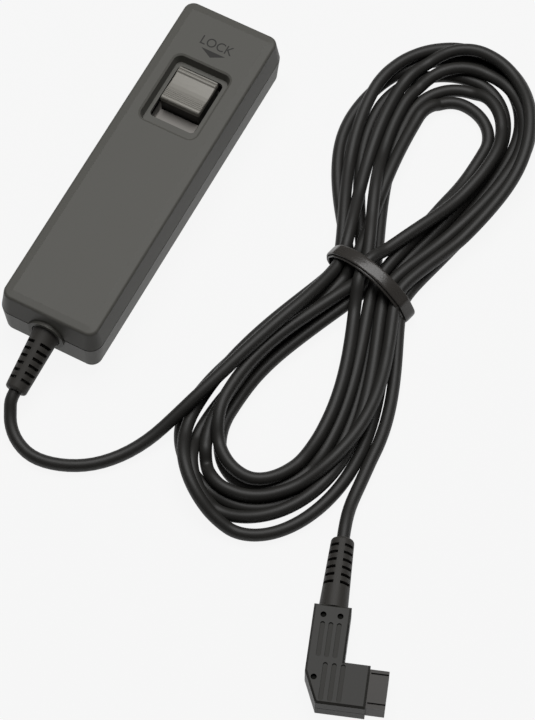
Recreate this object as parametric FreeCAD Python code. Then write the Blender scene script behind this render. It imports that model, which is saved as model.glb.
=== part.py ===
import FreeCAD, Part
import math
import os

# Cable shutter release, in millimetres. +Y runs towards the thumb button's end,
# +X to the right of somebody who holds it with the cable towards them, +Z up.
# The origin is the middle of the handset's underside.

Vec = FreeCAD.Vector

# Handset case
HANDSET_LENGTH = 95.0
HANDSET_WIDTH = 27.0
HANDSET_HEIGHT = 16.5
PARTING_HEIGHT = 9.5
PARTING_GAP = 0.25
CORNER_RADIUS = 3.4
UPPER_LEAN = 0.95
LOWER_LEAN = 0.8
TOP_BEVEL_WIDTH = 2.2
TOP_BEVEL_DROP = 0.35
TOP_EDGE_RADIUS = 0.8
BOTTOM_EDGE_RADIUS = 1.8
SIDE_WALL = 1.6
TOP_WALL = 1.6
FLOOR_WALL = 1.5
LIP_THICKNESS = 0.7
LIP_HEIGHT = 0.9
LIP_CLEARANCE = 0.1

# Recess round the thumb button
RECESS_WIDTH = 15.3
RECESS_LENGTH = 20.3
RECESS_FROM_FAR_END = 16.0
RECESS_DEPTH = 2.3
RECESS_CORNER = 2.0
RECESS_WALL_SLOPE = 0.6
RECESS_LIP_FLARE = 0.5
RECESS_WALL = 1.2
RECESS_FLOOR = 1.2
OPENING_WIDTH = 12.3
OPENING_LENGTH = 15.8
OPENING_FROM_NEAR_EDGE = 2.8
OPENING_CORNER = 1.2

# Thumb button
BUTTON_WIDTH = 10.6
BUTTON_LENGTH = 10.1
BUTTON_FROM_RECESS = 3.0
CAP_THICKNESS = 1.6
CAP_PROUD = 0.1
CAP_LIP_RADIUS = 1.1
CAP_EDGE_RADIUS = 0.35
RIDGE_PITCH = 0.9
RIDGE_HEIGHT = 0.3
GROOVE_PITCH = 0.6
GROOVE_DEPTH = 0.22
PLUNGER_INSET = 0.15
PLUNGER_WALL = 1.2
PLUNGER_HEIGHT = 5.6
STEM_DIAMETER = 2.6
STEM_OFFSET = 1.2
NOSE_RADIUS = 0.7
NOSE_LENGTH = 1.2
PRESS_TRAVEL = 1.5
LOCK_TRAVEL = 3.0
RUNNING_GAP = 0.2
GUIDE_GAP = 0.1
LUG_LENGTH = 2.0
LUG_THICKNESS = 0.6
LUG_REACH = 3.3
LUG_UP_FROM_SKIRT = 1.2
LATCH_GAP = 0.15

# Lock slide
SLIDE_WALL = 1.6
SLIDE_FLOOR = 0.9
SLIDE_FLOOR_HEIGHT = 6.5
SLIDE_WALL_HEIGHT = 3.0
SLIDE_FLANGE = 1.3
SLIDE_FLANGE_LENGTH = 3.0
PAD_LENGTH = 5.0
PAD_BELOW_TOP = 5.0
PAD_EDGE_RADIUS = 0.3

# Fixed frame under the slide
FRAME_CASE_GAP = 0.65
FRAME_THICKNESS = 1.0
FRAME_END_WIDTH = 1.6
FRAME_LEG = 1.2
LATCH_WEB = 0.7
LATCH_LENGTH = 2.2
KEEPER_THICKNESS = 1.0

# Return spring under the button
SPRING_WIRE = 0.45
SPRING_DIAMETER = 4.4
SPRING_TURNS = 5

# Contact leaves
BOARD_LENGTH = 17.0
BOARD_WIDTH = 8.0
BOARD_THICKNESS = 0.9
STACK_CASE_GAP = 0.1
STACK_LENGTH = 3.0
LEAF_WIDTH = 6.0
LEAF_THICKNESS = 0.3
LOW_SPACER = 1.7
HIGH_SPACER = 0.8
BLADE_GAP = 0.1
BLADE_LENGTH = 11.4
NOSE_TO_BLADE = 0.25
TAB_WIDTH = 1.2
TAB_LENGTH = 2.5
RIVET_RADIUS = 0.7
RIVET_HEAD_RADIUS = 1.2
RIVET_HEAD = 0.4
RIVET_SPACING = 3.6
SMALL_CLEARANCE = 0.05

# Case screws, put in from below
SCREW_FAR_FROM_END = 6.5
SCREW_NEAR_FROM_END = 25.5
SCREW_RADIUS = 1.1
SCREW_HEAD_RADIUS = 1.9
SCREW_HEAD = 1.3
SCREW_LENGTH = 9.0
SCREW_SINK = 0.8
SCREW_SEAT = 1.2
BOSS_RADIUS = 2.7
BOSS_GAP = 0.2

# Cable and its entry into the handset
CORD_DIAMETER = 3.1
CORD_HEIGHT = 8.5
COLLAR_RADIUS = 4.8
COLLAR_PROUD = 0.4
COLLAR_GAP = 0.15
BOOT_ROOT_RADIUS = 3.5
BOOT_END_RADIUS = 2.7
BOOT_TAPER_START = 3.38
BOOT_LENGTH = 15.2
BOOT_DROOP = 12.0
BOOT_WALL_GAP = 0.25
BOOT_FLANGE_RADIUS = 4.6
BOOT_FLANGE = 1.4
BOOT_BORE_GAP = 0.05
BOOT_END_ROUND = 0.8
SLOT_COUNT = 6
SLOT_PITCH = 1.9
SLOT_WIDTH = 0.75
SLOT_FIRST = 2.6
SLOT_SPAN = 62.0
SLOT_CORE_RADIUS = 2.0
CORD_TAIL = 10.0
RIB_THICKNESS = 1.2
RIB_HALF_WIDTH = 6.5
CLAMP_BACK = 5.5
CLAMP_LENGTH = 4.0
CLAMP_HALF_WIDTH = 6.6
CLAMP_THICKNESS = 2.6
CLAMP_SCREW_X = 4.6
CLAMP_SCREW_RADIUS = 0.9
CLAMP_SCREW_HEAD = 0.8
CLAMP_SCREW_HEAD_RADIUS = 1.6
CLAMP_SCREW_LENGTH = 5.5
CLAMP_POST_RADIUS = 1.9
WIRE_DIAMETER = 0.8
COMMON_WIRE_HEIGHT = 7.4
FOCUS_WIRE_HEIGHT = 6.2
RELEASE_WIRE_HEIGHT = 5.0

# Hank of cable, tied at its waist
HANK_TURNS = 6.5
HANK_X = 60.6
HANK_Y = 5.0
HANK_STEP = 3.95
HANK_LAYER_GAP = 0.5
HANK_FAN = 0.5
UPPER_LOOP_X = 56.0
UPPER_LOOP_Y = 43.0
UPPER_LEFT_INNER = 7.7
UPPER_LEFT_STEP = 4.35
UPPER_RIGHT_INNER = 10
UPPER_RIGHT_STEP = 3.85
UPPER_TOP = 60.6
UPPER_TOP_STEP = 4.2
UPPER_APEX_SHIFT = 1.5
UPPER_APEX_STEP = 0.3
LOWER_LOOP_X = 58.7
LOWER_LOOP_Y = -42.0
LOWER_LEFT_INNER = 10.4
LOWER_LEFT_STEP = 4.0
LOWER_RIGHT_INNER = 9.8
LOWER_RIGHT_STEP = 4.1
LOWER_BOTTOM = -56.0
LOWER_BOTTOM_STEP = 4.8
HANK_START_DROP = 12.0
HANK_START_SPREAD = 2.6
HANK_START_RISE = 3.2
HANK_END_DROP = 11.0
HANK_END_SPREAD = 2.0
HANK_CLIMB_SHARE = 0.27

# Tie round the waist
TIE_WIDTH = 4.2
TIE_THICKNESS = 0.7
TIE_GAP = 0.3
TIE_TAIL_WIDTH = 3.0
TIE_TAIL_THICKNESS = 0.6
TIE_TAIL_TURN = -14.0

# Right-angled plug
PLUG_X = 91.45
PLUG_Y = -76.5
PLUG_TURN = 20.0
PLUG_HEIGHT = 7.0
PLUG_PARTING = 3.4
PLUG_PARTING_GAP = 0.15
PLUG_WIDTH = 8.6
PLUG_LENGTH = 24.0
PLUG_ARM_START = 13.4
PLUG_ARM_REACH = 10.3
PLUG_CHAMFER_START = 16.5
PLUG_CHAMFER_END = -1.0
PLUG_WALL = 1.1
PLUG_CORNER = 0.7
PLUG_TOP_BEVEL = 0.5
PLUG_BOTTOM_BEVEL = 0.4
PLUG_NOSE_LENGTH = 4.4
PLUG_NOSE_WIDTH = 9.3
PLUG_NOSE_HEIGHT = 4.8
PLUG_NOSE_BELOW_TOP = 0.8
PLUG_NOSE_FROM_SIDE = 0.7
PLUG_NOSE_KEY = 0.45
PLUG_BOOT_ROOT_RADIUS = 3.4
PLUG_BOOT_END_RADIUS = 2.7
PLUG_BOOT_LENGTH = 17.8
PLUG_BOOT_NECK = 2.4
PLUG_HOLE_RADIUS = 0.7
PLUG_HOLE_DEPTH = 0.7
PLUG_BLIND_HOLES = ((-1.9, -2.6), (2.0, -2.6))
PLUG_POST = (-2.1, -17.9)
GROOVE_WIDTH = 1.1
GROOVE_CUT = 0.35
UPPER_GROOVES = (-1.8, 0.1, 2.0)
UPPER_GROOVE_RUN = (-4.3, -12.9)
LOWER_GROOVES = (0.1, 2.15, 4.2)
LOWER_GROOVE_RUN = (-14.1, -23.4)
PIN_RADIUS = 0.45
PIN_LENGTH = 7.5
PIN_SINK = 1.0
PIN_SPACING = 2.6
PIN_HOLE_RADIUS = 0.6
PLUG_CORD_TAIL = 1.0
PLUG_WIRE_DIAMETER = 0.7
PLUG_WIRE_SPACING = 0.85

# Sizes that follow from the ones above
CORD_RADIUS = CORD_DIAMETER / 2
HALF_LENGTH = HANDSET_LENGTH / 2
HALF_WIDTH = HANDSET_WIDTH / 2
TOP = HANDSET_HEIGHT
RING_TOP = TOP - RECESS_DEPTH
RING_UNDERSIDE = RING_TOP - RECESS_FLOOR
RECESS_FAR_Y = HALF_LENGTH - RECESS_FROM_FAR_END
RECESS_Y = RECESS_FAR_Y - RECESS_LENGTH / 2
RECESS_NEAR_Y = RECESS_FAR_Y - RECESS_LENGTH
OPENING_Y = RECESS_NEAR_Y + OPENING_FROM_NEAR_EDGE + OPENING_LENGTH / 2
BUTTON_FAR_Y = RECESS_FAR_Y - BUTTON_FROM_RECESS
BUTTON_NEAR_Y = BUTTON_FAR_Y - BUTTON_LENGTH
BUTTON_Y = (BUTTON_FAR_Y + BUTTON_NEAR_Y) / 2
CAP_TOP = TOP + CAP_PROUD
CAP_UNDERSIDE = CAP_TOP - CAP_THICKNESS
SKIRT_HALF_WIDTH = BUTTON_WIDTH / 2 - PLUNGER_INSET
SKIRT_BOTTOM = CAP_UNDERSIDE - PLUNGER_HEIGHT
PLUNGER_CEILING = CAP_UNDERSIDE - PLUNGER_WALL
LUG_BOTTOM = SKIRT_BOTTOM + LUG_UP_FROM_SKIRT
LUG_TOP = LUG_BOTTOM + LUG_THICKNESS
POCKET_HALF_WIDTH = SKIRT_HALF_WIDTH + RUNNING_GAP
POCKET_NEAR_Y = BUTTON_NEAR_Y + PLUNGER_INSET - RUNNING_GAP
POCKET_FAR_Y = BUTTON_FAR_Y - PLUNGER_INSET + RUNNING_GAP
SLIDE_HALF_WIDTH = POCKET_HALF_WIDTH + SLIDE_WALL
SLIDE_NEAR_Y = POCKET_NEAR_Y - PAD_LENGTH
SLIDE_FAR_Y = POCKET_FAR_Y + SLIDE_WALL
SLIDE_TOP = SLIDE_FLOOR_HEIGHT + SLIDE_WALL_HEIGHT
SLIDE_SEAT = SLIDE_FLOOR_HEIGHT + SLIDE_FLOOR
FLANGE_UNDERSIDE = SLIDE_TOP - FRAME_THICKNESS
FLANGE_HALF_WIDTH = SLIDE_HALF_WIDTH + SLIDE_FLANGE
FRAME_TOP = FLANGE_UNDERSIDE - GUIDE_GAP
FRAME_UNDERSIDE = FRAME_TOP - FRAME_THICKNESS
FRAME_INNER = SLIDE_HALF_WIDTH + GUIDE_GAP
FRAME_OUTER = HALF_WIDTH - LOWER_LEAN - SIDE_WALL - FRAME_CASE_GAP
FRAME_HOLE_NEAR_Y = SLIDE_NEAR_Y - LOCK_TRAVEL - RUNNING_GAP
FRAME_HOLE_FAR_Y = SLIDE_FAR_Y + RUNNING_GAP
PAD_TOP = TOP - PAD_BELOW_TOP
BOARD_TOP = FLOOR_WALL + BOARD_THICKNESS
LEAF_LOW = BOARD_TOP
LEAF_MIDDLE = LEAF_LOW + LEAF_THICKNESS + LOW_SPACER
LEAF_HIGH = LEAF_MIDDLE + LEAF_THICKNESS + HIGH_SPACER
LEAF_TOP = LEAF_HIGH + LEAF_THICKNESS
NOSE_TIP = LEAF_TOP + NOSE_TO_BLADE
STACK_X = STACK_CASE_GAP + LOWER_LEAN + SIDE_WALL - HALF_WIDTH
STACK_END = STACK_X + STACK_LENGTH
LEAF_Y = BUTTON_Y - LOCK_TRAVEL / 2
HANK_SPREAD = (HANK_TURNS - 0.5) / 2
HANK_INNER = 0.25 * HANK_STEP
HANK_OUTER = HANK_INNER + HANK_SPREAD * HANK_STEP
HANK_HALF_WIDTH = HANK_SPREAD * HANK_STEP
LAYER_LOW = CORD_RADIUS
LAYER_HIGH = LAYER_LOW + CORD_DIAMETER + HANK_LAYER_GAP
WAIST_RISE = TIE_THICKNESS + TIE_GAP
CLIMB_START = HANK_SPREAD


def outline(width, length, radius, z, x=0.0, y=0.0):
    """A rounded rectangle as a closed wire at height z."""
    radius = max(0.05, radius)
    a, b = width / 2 - radius, length / 2 - radius
    c = radius * math.sqrt(0.5)
    edges = []
    corners = ((a, b, 1, 1), (-a, b, -1, 1), (-a, -b, -1, -1), (a, -b, 1, -1))
    for k, (cx, cy, sx, sy) in enumerate(corners):
        if sx * sy > 0:
            first, last = Vec(cx + sx * radius, cy, 0), Vec(cx, cy + sy * radius, 0)
        else:
            first, last = Vec(cx, cy + sy * radius, 0), Vec(cx + sx * radius, cy, 0)
        middle = Vec(cx + sx * c, cy + sy * c, 0)
        edges.append((first, middle, last))
    parts = []
    for k, (first, middle, last) in enumerate(edges):
        parts.append(Part.Arc(first, middle, last).toShape())
        following = edges[(k + 1) % 4][0]
        if (following - last).Length > 1e-6:
            parts.append(Part.LineSegment(last, following).toShape())
    wire = Part.Wire(parts)
    wire.translate(Vec(x, y, z))
    return wire


def loft(wires):
    return Part.makeLoft(wires, True, True)


def tapered(width, length, radius, z_low, z_high, inset, x=0.0, y=0.0):
    """A rounded block whose sides lean in by inset from z_low to z_high."""
    low = outline(width, length, radius, z_low, x, y)
    high = outline(width - 2 * inset, length - 2 * inset, radius - inset, z_high, x, y)
    return loft([low, high])


def block(x0, x1, y0, y1, z0, z1):
    return Part.makeBox(x1 - x0, y1 - y0, z1 - z0, Vec(x0, y0, z0))


def rounded_block(width, length, radius, z0, z1, x=0.0, y=0.0):
    face = Part.Face(outline(width, length, radius, z0, x, y))
    return face.extrude(Vec(0, 0, z1 - z0))


def upright(radius, z0, z1, x, y):
    return Part.makeCylinder(radius, z1 - z0, Vec(x, y, z0))


def lying(radius, y0, y1, x, z):
    return Part.makeCylinder(radius, y1 - y0, Vec(x, y0, z), Vec(0, 1, 0))


def edges_at_height(shape, z, tolerance=1e-4):
    found = []
    for edge in shape.Edges:
        box = edge.BoundBox
        if abs(box.ZMin - z) < tolerance and abs(box.ZMax - z) < tolerance:
            found.append(edge)
    return found


def fuse(first, *others):
    return first.multiFuse(list(others)).removeSplitter()


def cut(base, *tools):
    return base.cut(Part.makeCompound(list(tools)))


def save(name, shape):
    solids = shape.Solids
    if len(solids) == 1:
        shape = solids[0]
    else:
        shape = Part.makeCompound(solids)
    if not shape.isValid():
        print("invalid", name)
    shape.exportStep("parts/" + name + ".step")
    print(name, "solids", len(solids), "volume", round(shape.Volume, 2))
    return shape


# Lines and arcs for cords and wires

def cross_section(point, direction, radius):
    circle = Part.Circle(point, direction, radius)
    return Part.Wire([circle.toShape()])


def arc_middle(start, tangent, end):
    """The middle of the arc that leaves start along tangent and ends at end, or None on a line."""
    chord = end - start
    length = chord.Length
    along = Vec(chord).normalize()
    share = max(-1.0, min(1.0, tangent.dot(along)))
    side = tangent - along * share
    if side.Length < 1e-6:
        return None
    side.normalize()
    half_angle = math.acos(share) / 2
    return start + chord * 0.5 + side * (length / 2 * math.tan(half_angle))


def arc_radius(start, tangent, end):
    chord = end - start
    share = max(-1.0, min(1.0, tangent.dot(Vec(chord).normalize())))
    sine = math.sin(math.acos(share))
    return chord.Length / (2 * sine) if sine > 1e-6 else float("inf")


def piece(start, tangent, end):
    """One edge, an arc or a line, from start along tangent to end."""
    middle = arc_middle(start, tangent, end)
    if middle is None:
        return Part.LineSegment(start, end).toShape()
    return Part.Arc(start, middle, end).toShape()


def biarc_joint(p0, t0, p1, t1):
    """Where two arcs of equal tangent length meet between two points with tangents."""
    span = p1 - p0
    spread = 2 * (1 - t0.dot(t1))
    if spread < 1e-9:
        reach = span.dot(span) / (4 * span.dot(t1))
    else:
        lean = span.dot(t0 + t1)
        reach = (-lean + math.sqrt(lean * lean + spread * span.dot(span))) / spread
    return (p0 + p1 + (t0 - t1) * reach) * 0.5


def biarc_edges(nodes):
    """Edges of two arcs each between nodes, and the least radius among them."""
    edges, least = [], float("inf")
    for (p0, t0), (p1, t1) in zip(nodes, nodes[1:]):
        joint = biarc_joint(p0, t0, p1, t1)
        edges.append(piece(p0, t0, joint))
        back = t1 * -1
        edges.append(reversed_piece(p1, back, joint))
        least = min(least, arc_radius(p0, t0, joint), arc_radius(p1, back, joint))
    return edges, least


def reversed_piece(start, tangent, end):
    """The same edge as piece, but run from end to start."""
    middle = arc_middle(start, tangent, end)
    if middle is None:
        return Part.LineSegment(end, start).toShape()
    return Part.Arc(end, middle, start).toShape()


def route_edges(points, share=0.45):
    """Straight runs joined by tangent arcs, each as large as its two runs allow."""
    points = [Vec(*p) for p in points]
    edges, radii = [], []
    start = points[0]
    for before, corner, after in zip(points, points[1:], points[2:]):
        come = (corner - before)
        go = (after - corner)
        back = Vec(come).normalize() * -1
        ahead = Vec(go).normalize()
        turn = (back * -1).getAngle(ahead)
        reach = share * min(come.Length, go.Length)
        radii.append(reach / math.tan(turn / 2))
        arc_start = corner + back * reach
        arc_end = corner + ahead * reach
        edges.append(Part.LineSegment(start, arc_start).toShape())
        edges.append(piece(arc_start, back * -1, arc_end))
        start = arc_end
    edges.append(Part.LineSegment(start, points[-1]).toShape())
    return edges, radii


def sweep(edges, radius, start, direction):
    """A round bar along tangent edges."""
    shell = Part.BRepOffsetAPI.MakePipeShell(Part.Wire(edges))
    shell.add(cross_section(start, direction, radius))
    if not shell.isReady():
        print("sweep not ready")
    shell.build()
    shell.makeSolid()
    return shell.shape()


def bar(points, radius, name=None):
    """A round bar along a route of points, with its radii and volume printed under a name."""
    edges, radii = route_edges(points)
    first, second = Vec(*points[0]), Vec(*points[1])
    solid = sweep(edges, radius, first, second - first)
    if name:
        length = sum(edge.Length for edge in edges)
        expected = math.pi * radius * radius * length
        print(name, "length", round(length, 1), "radii", [round(r, 1) for r in radii],
              "volume share", round(solid.Volume / expected, 4))
    return solid


def along(edges, step):
    """Points about step apart along edges, each with its distance from the start."""
    found, run = [], 0.0
    for edge in edges:
        count = max(1, int(math.ceil(edge.Length / step)))
        points = edge.discretize(count + 1)
        for k in range(count):
            found.append((points[k], run + edge.Length * k / count))
        run += edge.Length
    return found


def least_self_gap(edges, diameter, step=1.6, apart=25.0):
    """The least gap of a tube to itself, between points that lie apart along it."""
    points = along(edges, step)
    cell = diameter * 2.0
    grid = {}
    for index, (point, run) in enumerate(points):
        key = (int(point.x // cell), int(point.y // cell))
        grid.setdefault(key, []).append(index)
    least = float("inf")
    for index, (point, run) in enumerate(points):
        kx, ky = int(point.x // cell), int(point.y // cell)
        for nx in (kx - 1, kx, kx + 1):
            for ny in (ky - 1, ky, ky + 1):
                for other in grid.get((nx, ny), ()):
                    if other > index and points[other][1] - run > apart:
                        gap = (points[other][0] - point).Length - diameter
                        least = min(least, gap)
    return least


# Case

def upper_case():
    base = PARTING_HEIGHT + PARTING_GAP
    bevel_z = TOP - TOP_BEVEL_DROP
    rise = (bevel_z - base) / (bevel_z - PARTING_HEIGHT)
    start = UPPER_LEAN * (1 - rise)
    outer = loft([
        outline(HANDSET_WIDTH - 2 * start, HANDSET_LENGTH - 2 * start, CORNER_RADIUS - start, base),
        outline(HANDSET_WIDTH - 2 * UPPER_LEAN, HANDSET_LENGTH - 2 * UPPER_LEAN,
                CORNER_RADIUS - UPPER_LEAN, bevel_z),
        outline(HANDSET_WIDTH - 2 * (UPPER_LEAN + TOP_BEVEL_WIDTH),
                HANDSET_LENGTH - 2 * (UPPER_LEAN + TOP_BEVEL_WIDTH),
                CORNER_RADIUS - UPPER_LEAN - TOP_BEVEL_WIDTH, TOP)])
    outer = outer.makeFillet(TOP_EDGE_RADIUS, edges_at_height(outer, bevel_z))
    ceiling = TOP - TOP_BEVEL_DROP - TOP_WALL
    hollow = tapered(HANDSET_WIDTH - 2 * SIDE_WALL, HANDSET_LENGTH - 2 * SIDE_WALL,
                     CORNER_RADIUS - SIDE_WALL, PARTING_HEIGHT, ceiling, UPPER_LEAN)
    case = outer.cut(hollow)
    lip = SIDE_WALL - LIP_THICKNESS - LIP_CLEARANCE
    rebate = rounded_block(HANDSET_WIDTH - 2 * lip, HANDSET_LENGTH - 2 * lip, CORNER_RADIUS - lip,
                           PARTING_HEIGHT, PARTING_HEIGHT + LIP_HEIGHT)
    case = case.cut(rebate)
    tub = rounded_block(RECESS_WIDTH + 2 * RECESS_WALL, RECESS_LENGTH + 2 * RECESS_WALL,
                        RECESS_CORNER + RECESS_WALL, RING_UNDERSIDE, TOP - 1.0, 0, RECESS_Y)
    added = [tub]
    web_outer = SKIRT_HALF_WIDTH + LUG_REACH + RUNNING_GAP * 2 + LATCH_WEB
    web_inner = web_outer - LATCH_WEB
    shelf_inner = FRAME_INNER + RUNNING_GAP
    shelf_low = LUG_TOP - PRESS_TRAVEL + LATCH_GAP
    shelf_high = LUG_BOTTOM - LATCH_GAP
    latch_far = BUTTON_Y - LUG_LENGTH / 2 - LOCK_TRAVEL / 2 - 2 * LATCH_GAP
    latch_near = latch_far - LATCH_LENGTH
    keeper_low = SLIDE_TOP + GUIDE_GAP
    keeper_x = FRAME_INNER + RUNNING_GAP / 2
    front_keeper = (SLIDE_NEAR_Y - LOCK_TRAVEL, SLIDE_NEAR_Y + SLIDE_FLANGE_LENGTH)
    rear_keeper = (BUTTON_Y + LUG_LENGTH / 2 + RUNNING_GAP, SLIDE_FAR_Y)
    for side in (1, -1):
        web = sorted((side * web_inner, side * web_outer))
        shelf = sorted((side * shelf_inner, side * web_outer))
        added.append(block(web[0], web[1], latch_near, latch_far, shelf_low, ceiling + 0.3))
        added.append(block(shelf[0], shelf[1], latch_near, latch_far, shelf_low, shelf_high))
        rib = sorted((side * keeper_x, side * (keeper_x + KEEPER_THICKNESS)))
        for near, far in (front_keeper, rear_keeper):
            added.append(block(rib[0], rib[1], near, far, keeper_low, RING_UNDERSIDE + 0.3))
    screw_ys = (HALF_LENGTH - SCREW_FAR_FROM_END, -HALF_LENGTH + SCREW_NEAR_FROM_END)
    boss_low = SCREW_SINK + SCREW_HEAD + SCREW_SEAT + BOSS_GAP
    for y in screw_ys:
        added.append(upright(BOSS_RADIUS, boss_low, ceiling + 0.3, 0, y))
    flange_y = -HALF_LENGTH + SIDE_WALL + BOOT_FLANGE + RUNNING_GAP
    added.append(block(-RIB_HALF_WIDTH, RIB_HALF_WIDTH, flange_y, flange_y + RIB_THICKNESS,
                       CORD_HEIGHT + CORD_RADIUS + RUNNING_GAP, ceiling + 0.3))
    case = fuse(case, *added)
    near = RECESS_Y
    floor_width = RECESS_WIDTH - 2 * RECESS_WALL_SLOPE
    floor_length = RECESS_LENGTH - 2 * RECESS_WALL_SLOPE
    flare = RECESS_LIP_FLARE
    rising = RECESS_WALL_SLOPE
    recess = loft([
        outline(floor_width, floor_length, RECESS_CORNER - rising, RING_TOP, 0, near),
        outline(RECESS_WIDTH, RECESS_LENGTH, RECESS_CORNER, TOP - flare / 2, 0, near),
        outline(RECESS_WIDTH + 2 * flare, RECESS_LENGTH + 2 * flare, RECESS_CORNER + flare, TOP,
                0, near),
        outline(RECESS_WIDTH + 2 * flare, RECESS_LENGTH + 2 * flare, RECESS_CORNER + flare,
                TOP + 1, 0, near)])
    opening = rounded_block(OPENING_WIDTH, OPENING_LENGTH, OPENING_CORNER,
                            RING_UNDERSIDE - 1, RING_TOP + 1, 0, OPENING_Y)
    cord_hole = lying(COLLAR_RADIUS + COLLAR_GAP, -HALF_LENGTH - 2, -HALF_LENGTH + SIDE_WALL + 1.6,
                      0, CORD_HEIGHT)
    flange_room = lying(BOOT_FLANGE_RADIUS + RUNNING_GAP, -HALF_LENGTH + SIDE_WALL - 0.5, flange_y,
                        0, CORD_HEIGHT)
    tools = [recess, opening, cord_hole, flange_room]
    for y in screw_ys:
        depth = SCREW_SINK + SCREW_LENGTH + 0.5
        tools.append(upright(SCREW_RADIUS + SMALL_CLEARANCE, boss_low - 1, depth, 0, y))
    return cut(case, *tools)


def lower_case():
    outer = tapered(HANDSET_WIDTH - 2 * LOWER_LEAN, HANDSET_LENGTH - 2 * LOWER_LEAN,
                    CORNER_RADIUS - LOWER_LEAN, 0, PARTING_HEIGHT, -LOWER_LEAN)
    outer = outer.makeFillet(BOTTOM_EDGE_RADIUS, edges_at_height(outer, 0))
    inset = LOWER_LEAN + SIDE_WALL
    hollow = tapered(HANDSET_WIDTH - 2 * inset, HANDSET_LENGTH - 2 * inset,
                     CORNER_RADIUS - inset, FLOOR_WALL, PARTING_HEIGHT, -LOWER_LEAN)
    lip_base = SIDE_WALL - LIP_THICKNESS
    lip_outer = rounded_block(HANDSET_WIDTH - 2 * lip_base, HANDSET_LENGTH - 2 * lip_base,
                              CORNER_RADIUS - lip_base, PARTING_HEIGHT - 0.5,
                              PARTING_HEIGHT + LIP_HEIGHT)
    lip_inner = rounded_block(HANDSET_WIDTH - 2 * SIDE_WALL, HANDSET_LENGTH - 2 * SIDE_WALL,
                              CORNER_RADIUS - SIDE_WALL, PARTING_HEIGHT - 0.5,
                              PARTING_HEIGHT + LIP_HEIGHT)
    case = fuse(outer.cut(hollow), lip_outer.cut(lip_inner))
    collar = lying(COLLAR_RADIUS, -HALF_LENGTH - COLLAR_PROUD, -HALF_LENGTH + SIDE_WALL,
                   0, CORD_HEIGHT)
    added = [collar]
    screw_ys = (HALF_LENGTH - SCREW_FAR_FROM_END, -HALF_LENGTH + SCREW_NEAR_FROM_END)
    seat_top = SCREW_SINK + SCREW_HEAD + SCREW_SEAT
    for y in screw_ys:
        added.append(upright(BOSS_RADIUS, 0.5, seat_top, 0, y))
    flange_y = -HALF_LENGTH + SIDE_WALL + BOOT_FLANGE + RUNNING_GAP
    added.append(block(-RIB_HALF_WIDTH, RIB_HALF_WIDTH, flange_y, flange_y + RIB_THICKNESS,
                       FLOOR_WALL - 0.5, CORD_HEIGHT))
    clamp_y = -HALF_LENGTH + SIDE_WALL + CLAMP_BACK
    added.append(block(-CLAMP_HALF_WIDTH, CLAMP_HALF_WIDTH, clamp_y, clamp_y + CLAMP_LENGTH,
                       FLOOR_WALL - 0.5, CORD_HEIGHT))
    case = fuse(case, *added)
    tools = [lying(BOOT_ROOT_RADIUS + BOOT_WALL_GAP, -HALF_LENGTH - 2,
                   -HALF_LENGTH + SIDE_WALL + 0.1, 0, CORD_HEIGHT),
             lying(BOOT_FLANGE_RADIUS + RUNNING_GAP, -HALF_LENGTH + SIDE_WALL, flange_y,
                   0, CORD_HEIGHT),
             lying(CORD_RADIUS + BOOT_BORE_GAP, flange_y - 0.1, clamp_y + CLAMP_LENGTH + 1,
                   0, CORD_HEIGHT)]
    for y in screw_ys:
        tools.append(upright(SCREW_HEAD_RADIUS + RUNNING_GAP, -1, SCREW_SINK + SCREW_HEAD, 0, y))
        tools.append(upright(SCREW_RADIUS + GUIDE_GAP, -1, seat_top + 1, 0, y))
    for side in (1, -1):
        tools.append(upright(CLAMP_SCREW_RADIUS + SMALL_CLEARANCE,
                             CORD_HEIGHT + CLAMP_THICKNESS - CLAMP_SCREW_LENGTH - 0.3,
                             CORD_HEIGHT + 1, side * CLAMP_SCREW_X, clamp_y + CLAMP_LENGTH / 2))
    return cut(case, *tools)


def case_screws():
    screws = []
    for y in (HALF_LENGTH - SCREW_FAR_FROM_END, -HALF_LENGTH + SCREW_NEAR_FROM_END):
        head = upright(SCREW_HEAD_RADIUS, SCREW_SINK, SCREW_SINK + SCREW_HEAD, 0, y)
        shank = upright(SCREW_RADIUS, SCREW_SINK, SCREW_SINK + SCREW_LENGTH, 0, y)
        slot = [block(-1.2, 1.2, y - 0.2, y + 0.2, SCREW_SINK - 1, SCREW_SINK + 0.6),
                block(-0.2, 0.2, y - 1.2, y + 1.2, SCREW_SINK - 1, SCREW_SINK + 0.6)]
        screws.append(cut(fuse(head, shank), *slot))
    return Part.makeCompound(screws)


# Button

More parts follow.
